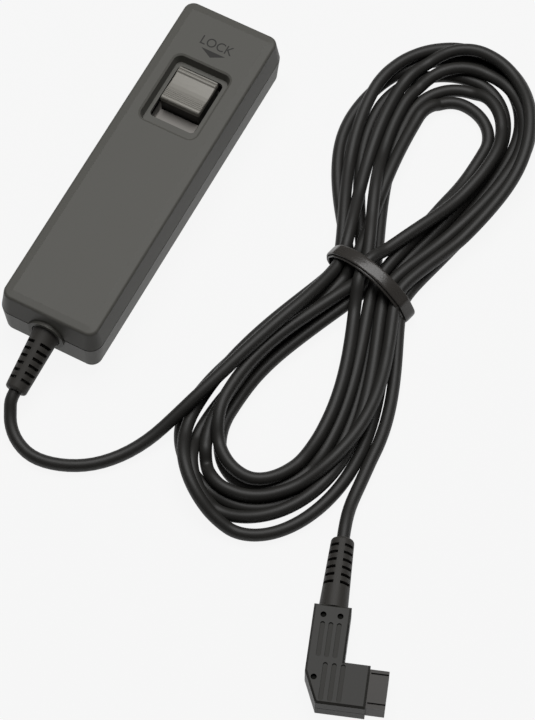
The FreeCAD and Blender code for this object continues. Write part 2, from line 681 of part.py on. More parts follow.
def button_cap():
    """The cap's side profile, drawn in Y and Z and carried across its width."""
    far, near = BUTTON_FAR_Y, BUTTON_NEAR_Y
    dish = 0.25
    points = [Vec(0, far, CAP_UNDERSIDE), Vec(0, far, CAP_TOP - 0.35)]
    y = far - 0.2
    for k in range(2):
        points += [Vec(0, y - 0.15, CAP_TOP), Vec(0, y - RIDGE_PITCH * 0.55, CAP_TOP),
                   Vec(0, y - RIDGE_PITCH * 0.7, CAP_TOP - RIDGE_HEIGHT),
                   Vec(0, y - RIDGE_PITCH, CAP_TOP - RIDGE_HEIGHT)]
        y -= RIDGE_PITCH
    lip_y = near + CAP_LIP_RADIUS
    flat_end = lip_y + 1.2
    points += [Vec(0, (y + flat_end) / 2, CAP_TOP - RIDGE_HEIGHT - dish),
               Vec(0, flat_end, CAP_TOP - 0.12)]
    for k in range(3):
        angle = math.radians(90 - 8 - 26 * k)
        across = math.radians(90 - 8 - 26 * k - 14)
        centre_z = CAP_TOP - CAP_LIP_RADIUS
        for turn, depth in ((angle, 0.0), (across, 0.0), (across - 0.06, GROOVE_DEPTH),
                            (across - 0.16, GROOVE_DEPTH)):
            reach = CAP_LIP_RADIUS - depth
            points.append(Vec(0, lip_y - reach * math.cos(turn), centre_z + reach * math.sin(turn)))
    points += [Vec(0, near, CAP_TOP - CAP_LIP_RADIUS), Vec(0, near, CAP_UNDERSIDE)]
    wire = Part.makePolygon(points + [points[0]])
    solid = Part.Face(wire).extrude(Vec(BUTTON_WIDTH, 0, 0))
    solid.translate(Vec(-BUTTON_WIDTH / 2, 0, 0))
    return solid


def button_plunger():
    near = BUTTON_NEAR_Y + PLUNGER_INSET
    far = BUTTON_FAR_Y - PLUNGER_INSET
    skirt = block(-SKIRT_HALF_WIDTH, SKIRT_HALF_WIDTH, near, far, SKIRT_BOTTOM, CAP_UNDERSIDE)
    inside = block(-SKIRT_HALF_WIDTH + PLUNGER_WALL, SKIRT_HALF_WIDTH - PLUNGER_WALL,
                   near + PLUNGER_WALL, far - PLUNGER_WALL, SKIRT_BOTTOM - 1, PLUNGER_CEILING)
    stem = upright(STEM_DIAMETER / 2, NOSE_TIP + NOSE_LENGTH, PLUNGER_CEILING + 0.3,
                   STEM_OFFSET, BUTTON_Y)
    nose = Part.makeCone(NOSE_RADIUS, STEM_DIAMETER / 2, NOSE_LENGTH,
                         Vec(STEM_OFFSET, BUTTON_Y, NOSE_TIP))
    lugs = []
    for side in (1, -1):
        span = sorted((side * (SKIRT_HALF_WIDTH - 0.3), side * (SKIRT_HALF_WIDTH + LUG_REACH)))
        lugs.append(block(span[0], span[1], BUTTON_Y - LUG_LENGTH / 2, BUTTON_Y + LUG_LENGTH / 2,
                          LUG_BOTTOM, LUG_TOP))
    return fuse(skirt.cut(inside), stem, nose, *lugs)


def lock_slider():
    body = block(-SLIDE_HALF_WIDTH, SLIDE_HALF_WIDTH, SLIDE_NEAR_Y, SLIDE_FAR_Y,
                 SLIDE_FLOOR_HEIGHT, SLIDE_TOP)
    pad = block(-BUTTON_WIDTH / 2, BUTTON_WIDTH / 2, SLIDE_NEAR_Y, POCKET_NEAR_Y,
                SLIDE_FLOOR_HEIGHT, PAD_TOP)
    rim = [edge for edge in edges_at_height(pad, PAD_TOP)]
    pad = pad.makeFillet(PAD_EDGE_RADIUS, rim)
    flanges = []
    for side in (1, -1):
        span = sorted((side * (SLIDE_HALF_WIDTH - 0.3), side * FLANGE_HALF_WIDTH))
        for near in (SLIDE_NEAR_Y, SLIDE_FAR_Y - SLIDE_FLANGE_LENGTH):
            flanges.append(block(span[0], span[1], near, near + SLIDE_FLANGE_LENGTH,
                                 FLANGE_UNDERSIDE, SLIDE_TOP))
    body = fuse(body, pad, *flanges)
    pocket = block(-POCKET_HALF_WIDTH, POCKET_HALF_WIDTH, POCKET_NEAR_Y, POCKET_FAR_Y,
                   SLIDE_SEAT, PAD_TOP + 1)
    stem_hole = upright(STEM_DIAMETER / 2 + RUNNING_GAP, SLIDE_FLOOR_HEIGHT - 1, SLIDE_SEAT + 1,
                        STEM_OFFSET, BUTTON_Y)
    lug_low = LUG_BOTTOM - PRESS_TRAVEL - LATCH_GAP
    notch = block(-SLIDE_HALF_WIDTH - 1, SLIDE_HALF_WIDTH + 1,
                  BUTTON_Y - LUG_LENGTH / 2 - RUNNING_GAP, BUTTON_Y + LUG_LENGTH / 2 + RUNNING_GAP,
                  lug_low, PAD_TOP + 1)
    return cut(body, pocket, stem_hole, notch)


def slide_frame():
    near = FRAME_HOLE_NEAR_Y - FRAME_END_WIDTH
    far = FRAME_HOLE_FAR_Y + FRAME_END_WIDTH
    plate = block(-FRAME_OUTER, FRAME_OUTER, near, far, FRAME_UNDERSIDE, FRAME_TOP)
    window = block(-FRAME_INNER, FRAME_INNER, FRAME_HOLE_NEAR_Y, FRAME_HOLE_FAR_Y,
                   FRAME_UNDERSIDE - 1, FRAME_TOP + 1)
    legs = []
    for x in (-FRAME_OUTER, FRAME_OUTER - FRAME_LEG):
        for y in (near, far - FRAME_LEG):
            legs.append(block(x, x + FRAME_LEG, y, y + FRAME_LEG, FLOOR_WALL, FRAME_TOP))
    return fuse(plate.cut(window), *legs)


def return_spring():
    """A coil of quarter-turn arcs whose ends lie flat against their seats."""
    low = SLIDE_SEAT + SPRING_WIRE / 2
    high = PLUNGER_CEILING - SPRING_WIRE / 2
    radius = (SPRING_DIAMETER - SPRING_WIRE) / 2
    quarters = SPRING_TURNS * 4
    nodes = []
    for k in range(quarters + 1):
        angle = math.pi / 2 * k
        share = k / quarters
        z = low + (high - low) * share
        rise = (high - low) / (2 * math.pi * SPRING_TURNS)
        tangent = Vec(-radius * math.sin(angle), radius * math.cos(angle), rise).normalize()
        nodes.append((Vec(STEM_OFFSET + radius * math.cos(angle),
                          BUTTON_Y + radius * math.sin(angle), z), tangent))
    edges, least = biarc_edges(nodes)
    return sweep(edges, SPRING_WIRE / 2, nodes[0][0], nodes[0][1])


# Contacts

def leaf_near():
    return LEAF_Y - LEAF_WIDTH / 2


def leaf_far():
    return LEAF_Y + LEAF_WIDTH / 2


def rivet_holes(z0, z1):
    x = STACK_X + STACK_LENGTH / 2
    return [upright(RIVET_RADIUS + SMALL_CLEARANCE, z0, z1, x, LEAF_Y + side * RIVET_SPACING / 2)
            for side in (1, -1)]


def contact_board():
    board = block(STACK_X, STACK_X + BOARD_LENGTH, LEAF_Y - BOARD_WIDTH / 2,
                  LEAF_Y + BOARD_WIDTH / 2, FLOOR_WALL, BOARD_TOP)
    x = STACK_X + STACK_LENGTH / 2
    heads = [upright(RIVET_HEAD_RADIUS + SMALL_CLEARANCE, FLOOR_WALL - 1,
                     FLOOR_WALL + RIVET_HEAD + SMALL_CLEARANCE, x, LEAF_Y + side * RIVET_SPACING / 2)
             for side in (1, -1)]
    return cut(board, *heads, *rivet_holes(0, BOARD_TOP + 1))


def terminal(z, end_x):
    strip = block(STACK_X, end_x, leaf_near(), leaf_far(), z, z + LEAF_THICKNESS)
    tab = block(STACK_END - TAB_WIDTH, STACK_END, leaf_near() - TAB_LENGTH, leaf_near() + 0.5,
                z, z + LEAF_THICKNESS)
    return cut(fuse(strip, tab), *rivet_holes(z - 1, z + 1))


def blade(z):
    return block(STACK_END + BLADE_GAP, STACK_END + BLADE_LENGTH, leaf_near(), leaf_far(),
                 z, z + LEAF_THICKNESS)


def leaf_spacers():
    low = block(STACK_X, STACK_END, leaf_near(), leaf_far(), LEAF_LOW + LEAF_THICKNESS, LEAF_MIDDLE)
    high = block(STACK_X, STACK_END, leaf_near(), leaf_far(), LEAF_MIDDLE + LEAF_THICKNESS, LEAF_HIGH)
    holes = rivet_holes(0, LEAF_TOP + 1)
    return Part.makeCompound([cut(low, *holes), cut(high, *holes)])


def leaf_rivets():
    x = STACK_X + STACK_LENGTH / 2
    rivets = []
    for side in (1, -1):
        y = LEAF_Y + side * RIVET_SPACING / 2
        rivets.append(fuse(upright(RIVET_HEAD_RADIUS, FLOOR_WALL, FLOOR_WALL + RIVET_HEAD, x, y),
                           upright(RIVET_RADIUS, FLOOR_WALL, LEAF_TOP + RIVET_HEAD, x, y),
                           upright(RIVET_HEAD_RADIUS, LEAF_TOP, LEAF_TOP + RIVET_HEAD, x, y)))
    return Part.makeCompound(rivets)


# Cable entry

def droop_direction():
    turn = math.radians(BOOT_DROOP)
    return Vec(0, -math.cos(turn), -math.sin(turn))


def boot_root():
    return Vec(0, -HALF_LENGTH - COLLAR_PROUD, CORD_HEIGHT)


def boot_end():
    return boot_root() + droop_direction() * BOOT_LENGTH


def cord_entry_route():
    root, end = boot_root(), boot_end()
    inner = -HALF_LENGTH + SIDE_WALL + CORD_TAIL
    return [tuple(end), tuple(root), (0, inner, CORD_HEIGHT)]


def slot_cutters(start, direction, first, root_radius):
    """Ring sectors at four sides of a boot, repeated along its axis."""
    cutters = []
    for k in range(SLOT_COUNT):
        base = start + direction * (first + SLOT_PITCH * k)
        for quarter in range(4):
            outer = Part.makeCylinder(root_radius + 1.5, SLOT_WIDTH, Vec(0, 0, 0), Vec(0, 0, 1),
                                      SLOT_SPAN)
            core = Part.makeCylinder(SLOT_CORE_RADIUS, SLOT_WIDTH * 3, Vec(0, 0, -SLOT_WIDTH))
            sector = outer.cut(core)
            sector.rotate(Vec(0, 0, 0), Vec(0, 0, 1), 45 + 90 * quarter - SLOT_SPAN / 2)
            sector.Placement = FreeCAD.Placement(
                base, FreeCAD.Rotation(Vec(1, 0, 0), Vec(0, 0, 1), direction, "ZXY")
            ).multiply(sector.Placement)
            cutters.append(sector)
    return cutters


def tapered_boot(start, direction, length, root_radius, end_radius):
    cone = Part.makeCone(root_radius, end_radius, length, start, direction)
    tip = [edge for edge in cone.Edges
           if (edge.BoundBox.Center - (start + direction * length)).Length < 0.05]
    return cone.makeFillet(BOOT_END_ROUND, tip)


def handset_boot():
    direction = droop_direction()
    root = boot_root()
    seat_y = -HALF_LENGTH + SIDE_WALL
    flange = lying(BOOT_FLANGE_RADIUS, seat_y, seat_y + BOOT_FLANGE, 0, CORD_HEIGHT)
    neck = lying(BOOT_ROOT_RADIUS, -HALF_LENGTH - COLLAR_PROUD, seat_y + 0.2, 0, CORD_HEIGHT)
    body = tapered_boot(root - direction * 0.8, direction, BOOT_LENGTH + 0.8, BOOT_TAPER_START,
                        BOOT_END_RADIUS)
    boot = fuse(flange, neck, body)
    route = cord_entry_route()
    far = Vec(*route[0]) + direction * 2
    bore = bar([tuple(far), route[1], route[2]], CORD_RADIUS + BOOT_BORE_GAP)
    cutters = slot_cutters(root, direction, SLOT_FIRST, BOOT_ROOT_RADIUS)
    return cut(boot, bore, *cutters)


def cord_clamp():
    y = -HALF_LENGTH + SIDE_WALL + CLAMP_BACK
    bar_block = block(-CLAMP_HALF_WIDTH, CLAMP_HALF_WIDTH, y, y + CLAMP_LENGTH,
                      CORD_HEIGHT, CORD_HEIGHT + CLAMP_THICKNESS)
    tools = [lying(CORD_RADIUS + BOOT_BORE_GAP, y - 1, y + CLAMP_LENGTH + 1, 0, CORD_HEIGHT)]
    for side in (1, -1):
        tools.append(upright(CLAMP_SCREW_RADIUS + GUIDE_GAP, CORD_HEIGHT - 1,
                             CORD_HEIGHT + CLAMP_THICKNESS + 1, side * CLAMP_SCREW_X,
                             y + CLAMP_LENGTH / 2))
    return cut(bar_block, *tools)


def clamp_screws():
    y = -HALF_LENGTH + SIDE_WALL + CLAMP_BACK + CLAMP_LENGTH / 2
    top = CORD_HEIGHT + CLAMP_THICKNESS
    screws = []
    for side in (1, -1):
        x = side * CLAMP_SCREW_X
        screw = fuse(upright(CLAMP_SCREW_HEAD_RADIUS, top, top + CLAMP_SCREW_HEAD, x, y),
                     upright(CLAMP_SCREW_RADIUS, top - CLAMP_SCREW_LENGTH, top, x, y))
        slot = block(x - 2, x + 2, y - 0.2, y + 0.2, top + CLAMP_SCREW_HEAD / 2, top + 2)
        screws.append(screw.cut(slot))
    return Part.makeCompound(screws)


def handset_wire(offset_x, offset_z, side_z, tab_z):
    """A wire from the cut end of the cable to its contact's tab."""
    start_y = -HALF_LENGTH + SIDE_WALL + CORD_TAIL
    tab_x = STACK_END - TAB_WIDTH / 2
    end_y = leaf_near() - TAB_LENGTH
    side_x = -2.6 - BOSS_RADIUS
    boss_y = -HALF_LENGTH + SCREW_NEAR_FROM_END
    points = [(offset_x, start_y, CORD_HEIGHT + offset_z),
              (offset_x, start_y + 2.5, CORD_HEIGHT + offset_z),
              (side_x, boss_y - 3.0, side_z),
              (tab_x, boss_y + 14.0, tab_z + 0.15),
              (tab_x, end_y, tab_z + 0.15)]
    return bar(points, WIRE_DIAMETER / 2)


# Hank

def hank_reach(turn):
    """Distance of a strand from the hank's middle at its waist, after so many turns."""
    if turn <= CLIMB_START:
        return HANK_OUTER - turn * HANK_STEP
    return HANK_INNER + (turn - CLIMB_START - 0.5) * HANK_STEP


def hank_key(eighth):
    """Point and tangent of the hank's line at each eighth of a turn."""
    turn = eighth / 8
    phase = eighth % 8
    reach = hank_reach(turn)
    size = (reach - HANK_INNER) / HANK_STEP
    if turn <= CLIMB_START:
        z, middle, size = LAYER_HIGH, HANK_X + HANK_INNER, size + HANK_FAN
    else:
        z, middle = LAYER_LOW, HANK_X - HANK_INNER
    up, down = Vec(0, 1, 0), Vec(0, -1, 0)
    if phase == 0:
        return Vec(middle - reach, HANK_Y, z + WAIST_RISE), up
    if phase == 1:
        left = UPPER_LEFT_INNER + size * UPPER_LEFT_STEP
        return Vec(UPPER_LOOP_X - left, UPPER_LOOP_Y, z), up
    if phase == 2:
        apex = UPPER_LOOP_X + UPPER_APEX_SHIFT + size * UPPER_APEX_STEP
        return Vec(apex, UPPER_TOP + size * UPPER_TOP_STEP, z), Vec(1, 0, 0)
    if phase == 3:
        right = UPPER_RIGHT_INNER + size * UPPER_RIGHT_STEP
        return Vec(UPPER_LOOP_X + right, UPPER_LOOP_Y, z), down
    if phase == 4:
        return Vec(middle + reach, HANK_Y, z + WAIST_RISE), down
    if phase == 5:
        right = LOWER_RIGHT_INNER + size * LOWER_RIGHT_STEP
        return Vec(LOWER_LOOP_X + right, LOWER_LOOP_Y, z), down
    if phase == 6:
        return Vec(LOWER_LOOP_X, LOWER_BOTTOM - size * LOWER_BOTTOM_STEP, z), Vec(-1, 0, 0)
    left = LOWER_LEFT_INNER + size * LOWER_LEFT_STEP
    return Vec(LOWER_LOOP_X - left, LOWER_LOOP_Y, z), up


def flank_middle(start, end, climb_share):
    """The middle of the S between a waist and a loop, and the tangent there."""
    (p0, t0), (p1, t1) = start, end
    span = abs(p1.y - p0.y)
    point = (p0 + p1) * 0.5
    tangent = (p1 - p0) * 1.5 - (t0 + t1) * (span * 0.25)
    point.z = p0.z + (p1.z - p0.z) * climb_share
    tangent.z = (p1.z - p0.z) * 1.5
    return point, tangent.normalize()


def hank_nodes():
    nodes = []
    last = int(round(HANK_TURNS * 8))
    for eighth in range(last):
        start, end = hank_key(eighth), hank_key(eighth + 1)
        nodes.append(start)
        if eighth % 8 in (0, 3, 4, 7):
            climbs = abs(eighth / 8 - CLIMB_START) < 1e-6
            nodes.append(flank_middle(start, end, HANK_CLIMB_SHARE if climbs else 0.5))
    nodes.append(hank_key(last))
    return nodes


def hank_end(side):
    """The face where a free lead meets the hank, and the direction out of the hank there."""
    if side < 0:
        point = Vec(HANK_X - HANK_HALF_WIDTH - HANK_START_SPREAD, HANK_Y - HANK_START_DROP,
                    LAYER_HIGH + HANK_START_RISE)
        return point, Vec(-0.24, -1, 0.12).normalize()
    point = Vec(HANK_X + HANK_HALF_WIDTH + HANK_END_SPREAD, HANK_Y - HANK_END_DROP, LAYER_LOW)
    return point, Vec(0.3, -1, 0).normalize()


def cable_hank():
    start, out_start = hank_end(-1)
    end, out_end = hank_end(1)
    first = start - out_start * CORD_DIAMETER
    last = end - out_end * CORD_DIAMETER
    nodes = [(first, out_start * -1)] + hank_nodes() + [(last, out_end)]
    edges, least = biarc_edges(nodes)
    edges = ([Part.LineSegment(start, first).toShape()] + edges
             + [Part.LineSegment(last, end).toShape()])
    solid = sweep(edges, CORD_RADIUS, start, out_start * -1)
    length = sum(edge.Length for edge in edges)
    print("cable_hank length", round(length, 1), "edges", len(edges), "least radius",
          round(least, 2), "least self gap", round(least_self_gap(edges, CORD_DIAMETER), 2),
          "volume share", round(solid.Volume / (math.pi * CORD_RADIUS ** 2 * length), 4))
    return solid


def handset_lead_route():
    """From the boot over the table, up onto the loops and along them to the hank."""
    end = boot_end()
    out = droop_direction()
    meet, direction = hank_end(-1)
    table, crest = CORD_RADIUS, LAYER_HIGH + CORD_DIAMETER + HANK_LAYER_GAP + 0.1
    return [tuple(end), tuple(end + out * 3.2), (0.9, -69.0, 3.0), (4.3, -72.5, 1.7),
            (10.3, -75.1, table), (17.8, -73.9, table), (24.6, -70.2, table),
            (29.8, -64.6, 1.7), (34.2, -57.8, 5.9), (38.0, -50.4, crest + 0.3), (40.8, -42.8, crest),
            (42.6, -34.6, crest), (43.8, -26.3, crest + 0.2), (44.5, -18.6, crest + 0.5),
            tuple(meet + direction * 5.0), tuple(meet)]


def plug_place():
    return FreeCAD.Placement(Vec(PLUG_X, PLUG_Y, 0), FreeCAD.Rotation(Vec(0, 0, 1), PLUG_TURN))


def plug_boot_end():
    return plug_place().multVec(Vec(0, PLUG_BOOT_LENGTH, PLUG_HEIGHT / 2))


def plug_lead_route():
    meet, direction = hank_end(1)
    out = plug_place().Rotation.multVec(Vec(0, 1, 0))
    end = plug_boot_end()
    table = CORD_RADIUS
    return [tuple(meet), tuple(meet + direction * 5.0), (77.9, -20.0, table), (80.7, -28.5, table),
            (82.3, -37.0, table), (82.6, -45.0, table + 0.3), tuple(end + out * 6.0), tuple(end)]


# Tie

def cable_tie():
    half = HANK_HALF_WIDTH + CORD_RADIUS + TIE_GAP
    inner_low = TIE_THICKNESS
    inner_high = LAYER_HIGH + WAIST_RISE + CORD_RADIUS + TIE_GAP
    width = 2 * half
    height = inner_high - inner_low
    centre_z = (inner_low + inner_high) / 2
    corner = CORD_RADIUS + TIE_GAP

    def ring(extra):
        face = Part.Face(outline(width + 2 * extra, height + 2 * extra, corner + extra, 0))
        solid = face.extrude(Vec(0, 0, TIE_WIDTH))
        solid.rotate(Vec(0, 0, 0), Vec(1, 0, 0), 90)
        solid.translate(Vec(HANK_X, HANK_Y + TIE_WIDTH / 2, centre_z))
        return solid

    band = ring(TIE_THICKNESS).cut(ring(0))
    top = inner_high + TIE_THICKNESS
    tail = block(-half * 0.2, half + TIE_THICKNESS, -TIE_TAIL_WIDTH / 2, TIE_TAIL_WIDTH / 2,
                 top - 0.1, top + TIE_TAIL_THICKNESS)
    tail.rotate(Vec(0, 0, 0), Vec(0, 0, 1), TIE_TAIL_TURN)
    tail.translate(Vec(HANK_X, HANK_Y, 0))
    limit = block(HANK_X - half - 1, HANK_X + half + TIE_THICKNESS, HANK_Y - 10, HANK_Y + 10, 0, 20)
    return fuse(band, tail.common(limit))


# Plug

def plug_outline(grow, z):
    """The right-angled plug's outline, grown outwards by grow, at height z."""
    half = PLUG_WIDTH / 2
    slope = math.hypot(PLUG_LENGTH - PLUG_CHAMFER_START, PLUG_CHAMFER_END + half)
    tilt = (PLUG_LENGTH - PLUG_CHAMFER_START) / slope
    lean = (PLUG_CHAMFER_END + half) / slope
    rise = grow * (1 - tilt) / lean
    shift = grow * (1 - lean) / tilt
    points = [Vec(-half - grow, grow, z), Vec(half + grow, grow, z),
              Vec(half + grow, -PLUG_ARM_START + grow, z),
              Vec(PLUG_ARM_REACH + grow, -PLUG_ARM_START + grow, z),
              Vec(PLUG_ARM_REACH + grow, -PLUG_LENGTH - grow, z),
              Vec(PLUG_CHAMFER_END - shift, -PLUG_LENGTH - grow, z),
              Vec(-half - grow, -PLUG_CHAMFER_START - rise, z)]
    return Part.makePolygon(points + [points[0]])


def plug_body(z0, z1, low_bevel, high_bevel):
    """A block of the plug's outline with bevelled rims."""
    sections = []
    if low_bevel:
        sections += [plug_outline(-low_bevel, z0), plug_outline(0, z0 + low_bevel)]
    else:
        sections.append(plug_outline(0, z0))
    if high_bevel:
        sections += [plug_outline(0, z1 - high_bevel), plug_outline(-high_bevel, z1)]
    else:
        sections.append(plug_outline(0, z1))
    return loft(sections)


def plug_cavity(z0, z1):
    return Part.Face(plug_outline(-PLUG_WALL, z0)).extrude(Vec(0, 0, z1 - z0))


def plug_entries():
    """Room in both plug shells for the boot's neck and the nose's root."""
    neck = lying(PLUG_BOOT_NECK + SMALL_CLEARANCE, -PLUG_WALL - 0.5, 1, 0, PLUG_HEIGHT / 2)
    flange = lying(PLUG_BOOT_ROOT_RADIUS - 0.4 + SMALL_CLEARANCE, -PLUG_WALL - PLUG_CORD_TAIL,
                   -PLUG_WALL, 0, PLUG_HEIGHT / 2)
    nose_y0, nose_y1, nose_z0, nose_z1 = nose_box()
    gap = SMALL_CLEARANCE
    root = block(PLUG_ARM_REACH - PLUG_WALL - 1, PLUG_ARM_REACH + 1, nose_y0 - gap, nose_y1 + gap,
                 nose_z0 - gap, nose_z1 + gap)
    return [neck, flange, root]


def nose_box():
    y1 = -PLUG_ARM_START - PLUG_NOSE_FROM_SIDE
    y0 = y1 - PLUG_NOSE_WIDTH
    z1 = PLUG_HEIGHT - PLUG_NOSE_BELOW_TOP
    return y0, y1, z1 - PLUG_NOSE_HEIGHT, z1


def plug_shell_lower():
    shell = plug_body(0, PLUG_PARTING, PLUG_BOTTOM_BEVEL, 0)
    shell = shell.cut(plug_cavity(PLUG_WALL, PLUG_PARTING + 1))
    x, y = PLUG_POST
    shell = fuse(shell,
                 upright(PLUG_HOLE_RADIUS + 0.5, PLUG_WALL - 0.3, PLUG_PARTING, x, y),
                 upright(PLUG_HOLE_RADIUS - SMALL_CLEARANCE, PLUG_WALL - 0.3,
                         PLUG_HEIGHT - PLUG_HOLE_DEPTH, x, y))
    return cut(shell, *plug_entries())


def groove(x, near, far):
    run = near - far - GROOVE_WIDTH
    slot = rounded_block(GROOVE_WIDTH, run + GROOVE_WIDTH, GROOVE_WIDTH / 2 - 0.01,
                         PLUG_HEIGHT - GROOVE_CUT, PLUG_HEIGHT + 1, x, (near + far) / 2)
    return slot


def plug_shell_upper():
    low = PLUG_PARTING + PLUG_PARTING_GAP
    shell = plug_body(low, PLUG_HEIGHT, 0, PLUG_TOP_BEVEL)
    shell = shell.cut(plug_cavity(low - 1, PLUG_HEIGHT - PLUG_WALL))
    x, y = PLUG_POST
    shell = fuse(shell, upright(PLUG_HOLE_RADIUS + 0.5, low, PLUG_HEIGHT - PLUG_WALL + 0.3, x, y))
    tools = [upright(PLUG_HOLE_RADIUS, low - 1, PLUG_HEIGHT + 1, x, y)]
    tools += [upright(PLUG_HOLE_RADIUS, PLUG_HEIGHT - PLUG_HOLE_DEPTH, PLUG_HEIGHT + 1, x, y)
              for x, y in PLUG_BLIND_HOLES]
    tools += [groove(x, *UPPER_GROOVE_RUN) for x in UPPER_GROOVES]
    tools += [groove(x, *LOWER_GROOVE_RUN) for x in LOWER_GROOVES]
    return cut(shell, *tools, *plug_entries())


def plug_nose():
    y0, y1, z0, z1 = nose_box()
    root = PLUG_ARM_REACH - PLUG_WALL - 0.8
    end = PLUG_ARM_REACH + PLUG_NOSE_LENGTH
    body = block(root, end, y0, y1, z0, z1)
    key = PLUG_NOSE_KEY
    tools = [block(PLUG_ARM_REACH + 0.3, end + 1, y1 - 1.2, y1 - 1.2 + key, z1 - key, z1 + 1),
             block(PLUG_ARM_REACH + 0.3, end + 1, y0 + 0.9, y0 + 0.9 + key, z1 - key, z1 + 1)]
    middle_y, middle_z = (y0 + y1) / 2, (z0 + z1) / 2
    for k in (-1, 0, 1):
        tools.append(Part.makeCylinder(PIN_HOLE_RADIUS, end - root + 2,
                                       Vec(root - 1, middle_y + k * PIN_SPACING, middle_z),
                                       Vec(1, 0, 0)))
    return cut(body, *tools)


def plug_pins():
    y0, y1, z0, z1 = nose_box()
    end = PLUG_ARM_REACH + PLUG_NOSE_LENGTH - PIN_SINK
    pins = []
    for k in (-1, 0, 1):
        at = Vec(end - PIN_LENGTH, (y0 + y1) / 2 + k * PIN_SPACING, (z0 + z1) / 2)
        pin = Part.makeCylinder(PIN_RADIUS, PIN_LENGTH, at, Vec(1, 0, 0))
        root = PLUG_ARM_REACH - PLUG_WALL - 0.8
        bead = Part.makeCylinder(PIN_HOLE_RADIUS - SMALL_CLEARANCE, 1.2, Vec(root + 1.0, at.y, at.z), Vec(1, 0, 0))
        pins.append(fuse(pin, bead))
    return Part.makeCompound(pins)


def plug_boot():
    """Tapered boot on the plug, with a neck and a flange held between its two shells."""
    z = PLUG_HEIGHT / 2
    body = tapered_boot(Vec(0, 0, z), Vec(0, 1, 0), PLUG_BOOT_LENGTH, PLUG_BOOT_ROOT_RADIUS,
                        PLUG_BOOT_END_RADIUS)
    neck = lying(PLUG_BOOT_NECK, -PLUG_WALL - 0.3, 0.2, 0, z)
    flange = lying(PLUG_BOOT_ROOT_RADIUS - 0.4, -PLUG_WALL - 0.9, -PLUG_WALL - 0.05, 0, z)
    boot = fuse(body, neck, flange)
    bore = lying(CORD_RADIUS + BOOT_BORE_GAP, -PLUG_WALL - 3, PLUG_BOOT_LENGTH + 1, 0, z)
    last_slot = SLOT_PITCH * (SLOT_COUNT - 1) + SLOT_WIDTH
    first = PLUG_BOOT_LENGTH - SLOT_FIRST + SLOT_WIDTH - last_slot
    cutters = slot_cutters(Vec(0, 0, z), Vec(0, 1, 0), first, PLUG_BOOT_ROOT_RADIUS)
    return cut(boot, bore, *cutters)


def plug_cord_end():
    return lying(CORD_RADIUS, -PLUG_WALL - PLUG_CORD_TAIL, PLUG_BOOT_LENGTH, 0, PLUG_HEIGHT / 2)


def plug_wires():
    """Wires one above another between the posts, each turning to its own pin."""
    y0, y1, z0, z1 = nose_box()
    start_y = -PLUG_WALL - PLUG_CORD_TAIL
    tail = PLUG_ARM_REACH + PLUG_NOSE_LENGTH - PIN_SINK - PIN_LENGTH
    wires = []
    for k in (1, 0, -1):
        y = (y0 + y1) / 2 + k * PIN_SPACING
        z = PLUG_HEIGHT / 2 + k * PLUG_WIRE_SPACING
        points = [(0.07, start_y, z), (0.07, start_y - 4.0, z), (0.95, start_y - 7.5, z),
                  (1.1, y + 1.8, z), (3.4, y, (z0 + z1) / 2), (tail, y, (z0 + z1) / 2)]
        wires.append(bar(points, PLUG_WIRE_DIAMETER / 2))
    return Part.makeCompound(wires)


def placed(shape):
    moved = shape.copy()
    moved.Placement = plug_place().multiply(moved.Placement)
    return moved


def build():
    os.makedirs("parts", exist_ok=True)
    save("upper_shell", upper_case())
    save("lower_shell", lower_case())
    save("case_screws", case_screws())
    save("button_cap", button_cap())
    save("button_plunger", button_plunger())
    save("lock_slider", lock_slider())
    save("slide_frame", slide_frame())
    save("return_spring", return_spring())
    save("contact_board", contact_board())
    save("release_leaf", terminal(LEAF_LOW, STACK_END + BLADE_LENGTH))
    save("focus_terminal", terminal(LEAF_MIDDLE, STACK_END))
    save("common_terminal", terminal(LEAF_HIGH, STACK_END))
    save("focus_leaf", blade(LEAF_MIDDLE))
    save("common_leaf", blade(LEAF_HIGH))
    save("leaf_spacers", leaf_spacers())
    save("leaf_rivets", leaf_rivets())
    save("handset_boot", handset_boot())
    save("cord_inner_end", bar(cord_entry_route(), CORD_RADIUS, "cord_inner_end"))
    save("cord_clamp", cord_clamp())
    save("clamp_screws", clamp_screws())
    save("wire_common", handset_wire(0.0, 0.85, COMMON_WIRE_HEIGHT, LEAF_HIGH))
    save("wire_focus", handset_wire(-0.75, -0.45, FOCUS_WIRE_HEIGHT, LEAF_MIDDLE))
    save("wire_release", handset_wire(0.75, -0.45, RELEASE_WIRE_HEIGHT, LEAF_LOW))
    save("cable_lead_handset", bar(handset_lead_route(), CORD_RADIUS, "cable_lead_handset"))
    save("cable_hank", cable_hank())
    save("cable_lead_plug", bar(plug_lead_route(), CORD_RADIUS, "cable_lead_plug"))
    save("cable_tie", cable_tie())
    save("plug_boot", placed(plug_boot()))
    save("plug_cord_end", placed(plug_cord_end()))
    save("plug_shell_lower", placed(plug_shell_lower()))
    save("plug_shell_upper", placed(plug_shell_upper()))
    save("plug_nose", placed(plug_nose()))
    save("plug_pins", placed(plug_pins()))
    save("plug_wires", placed(plug_wires()))


build()
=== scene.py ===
import math
from collections import namedtuple

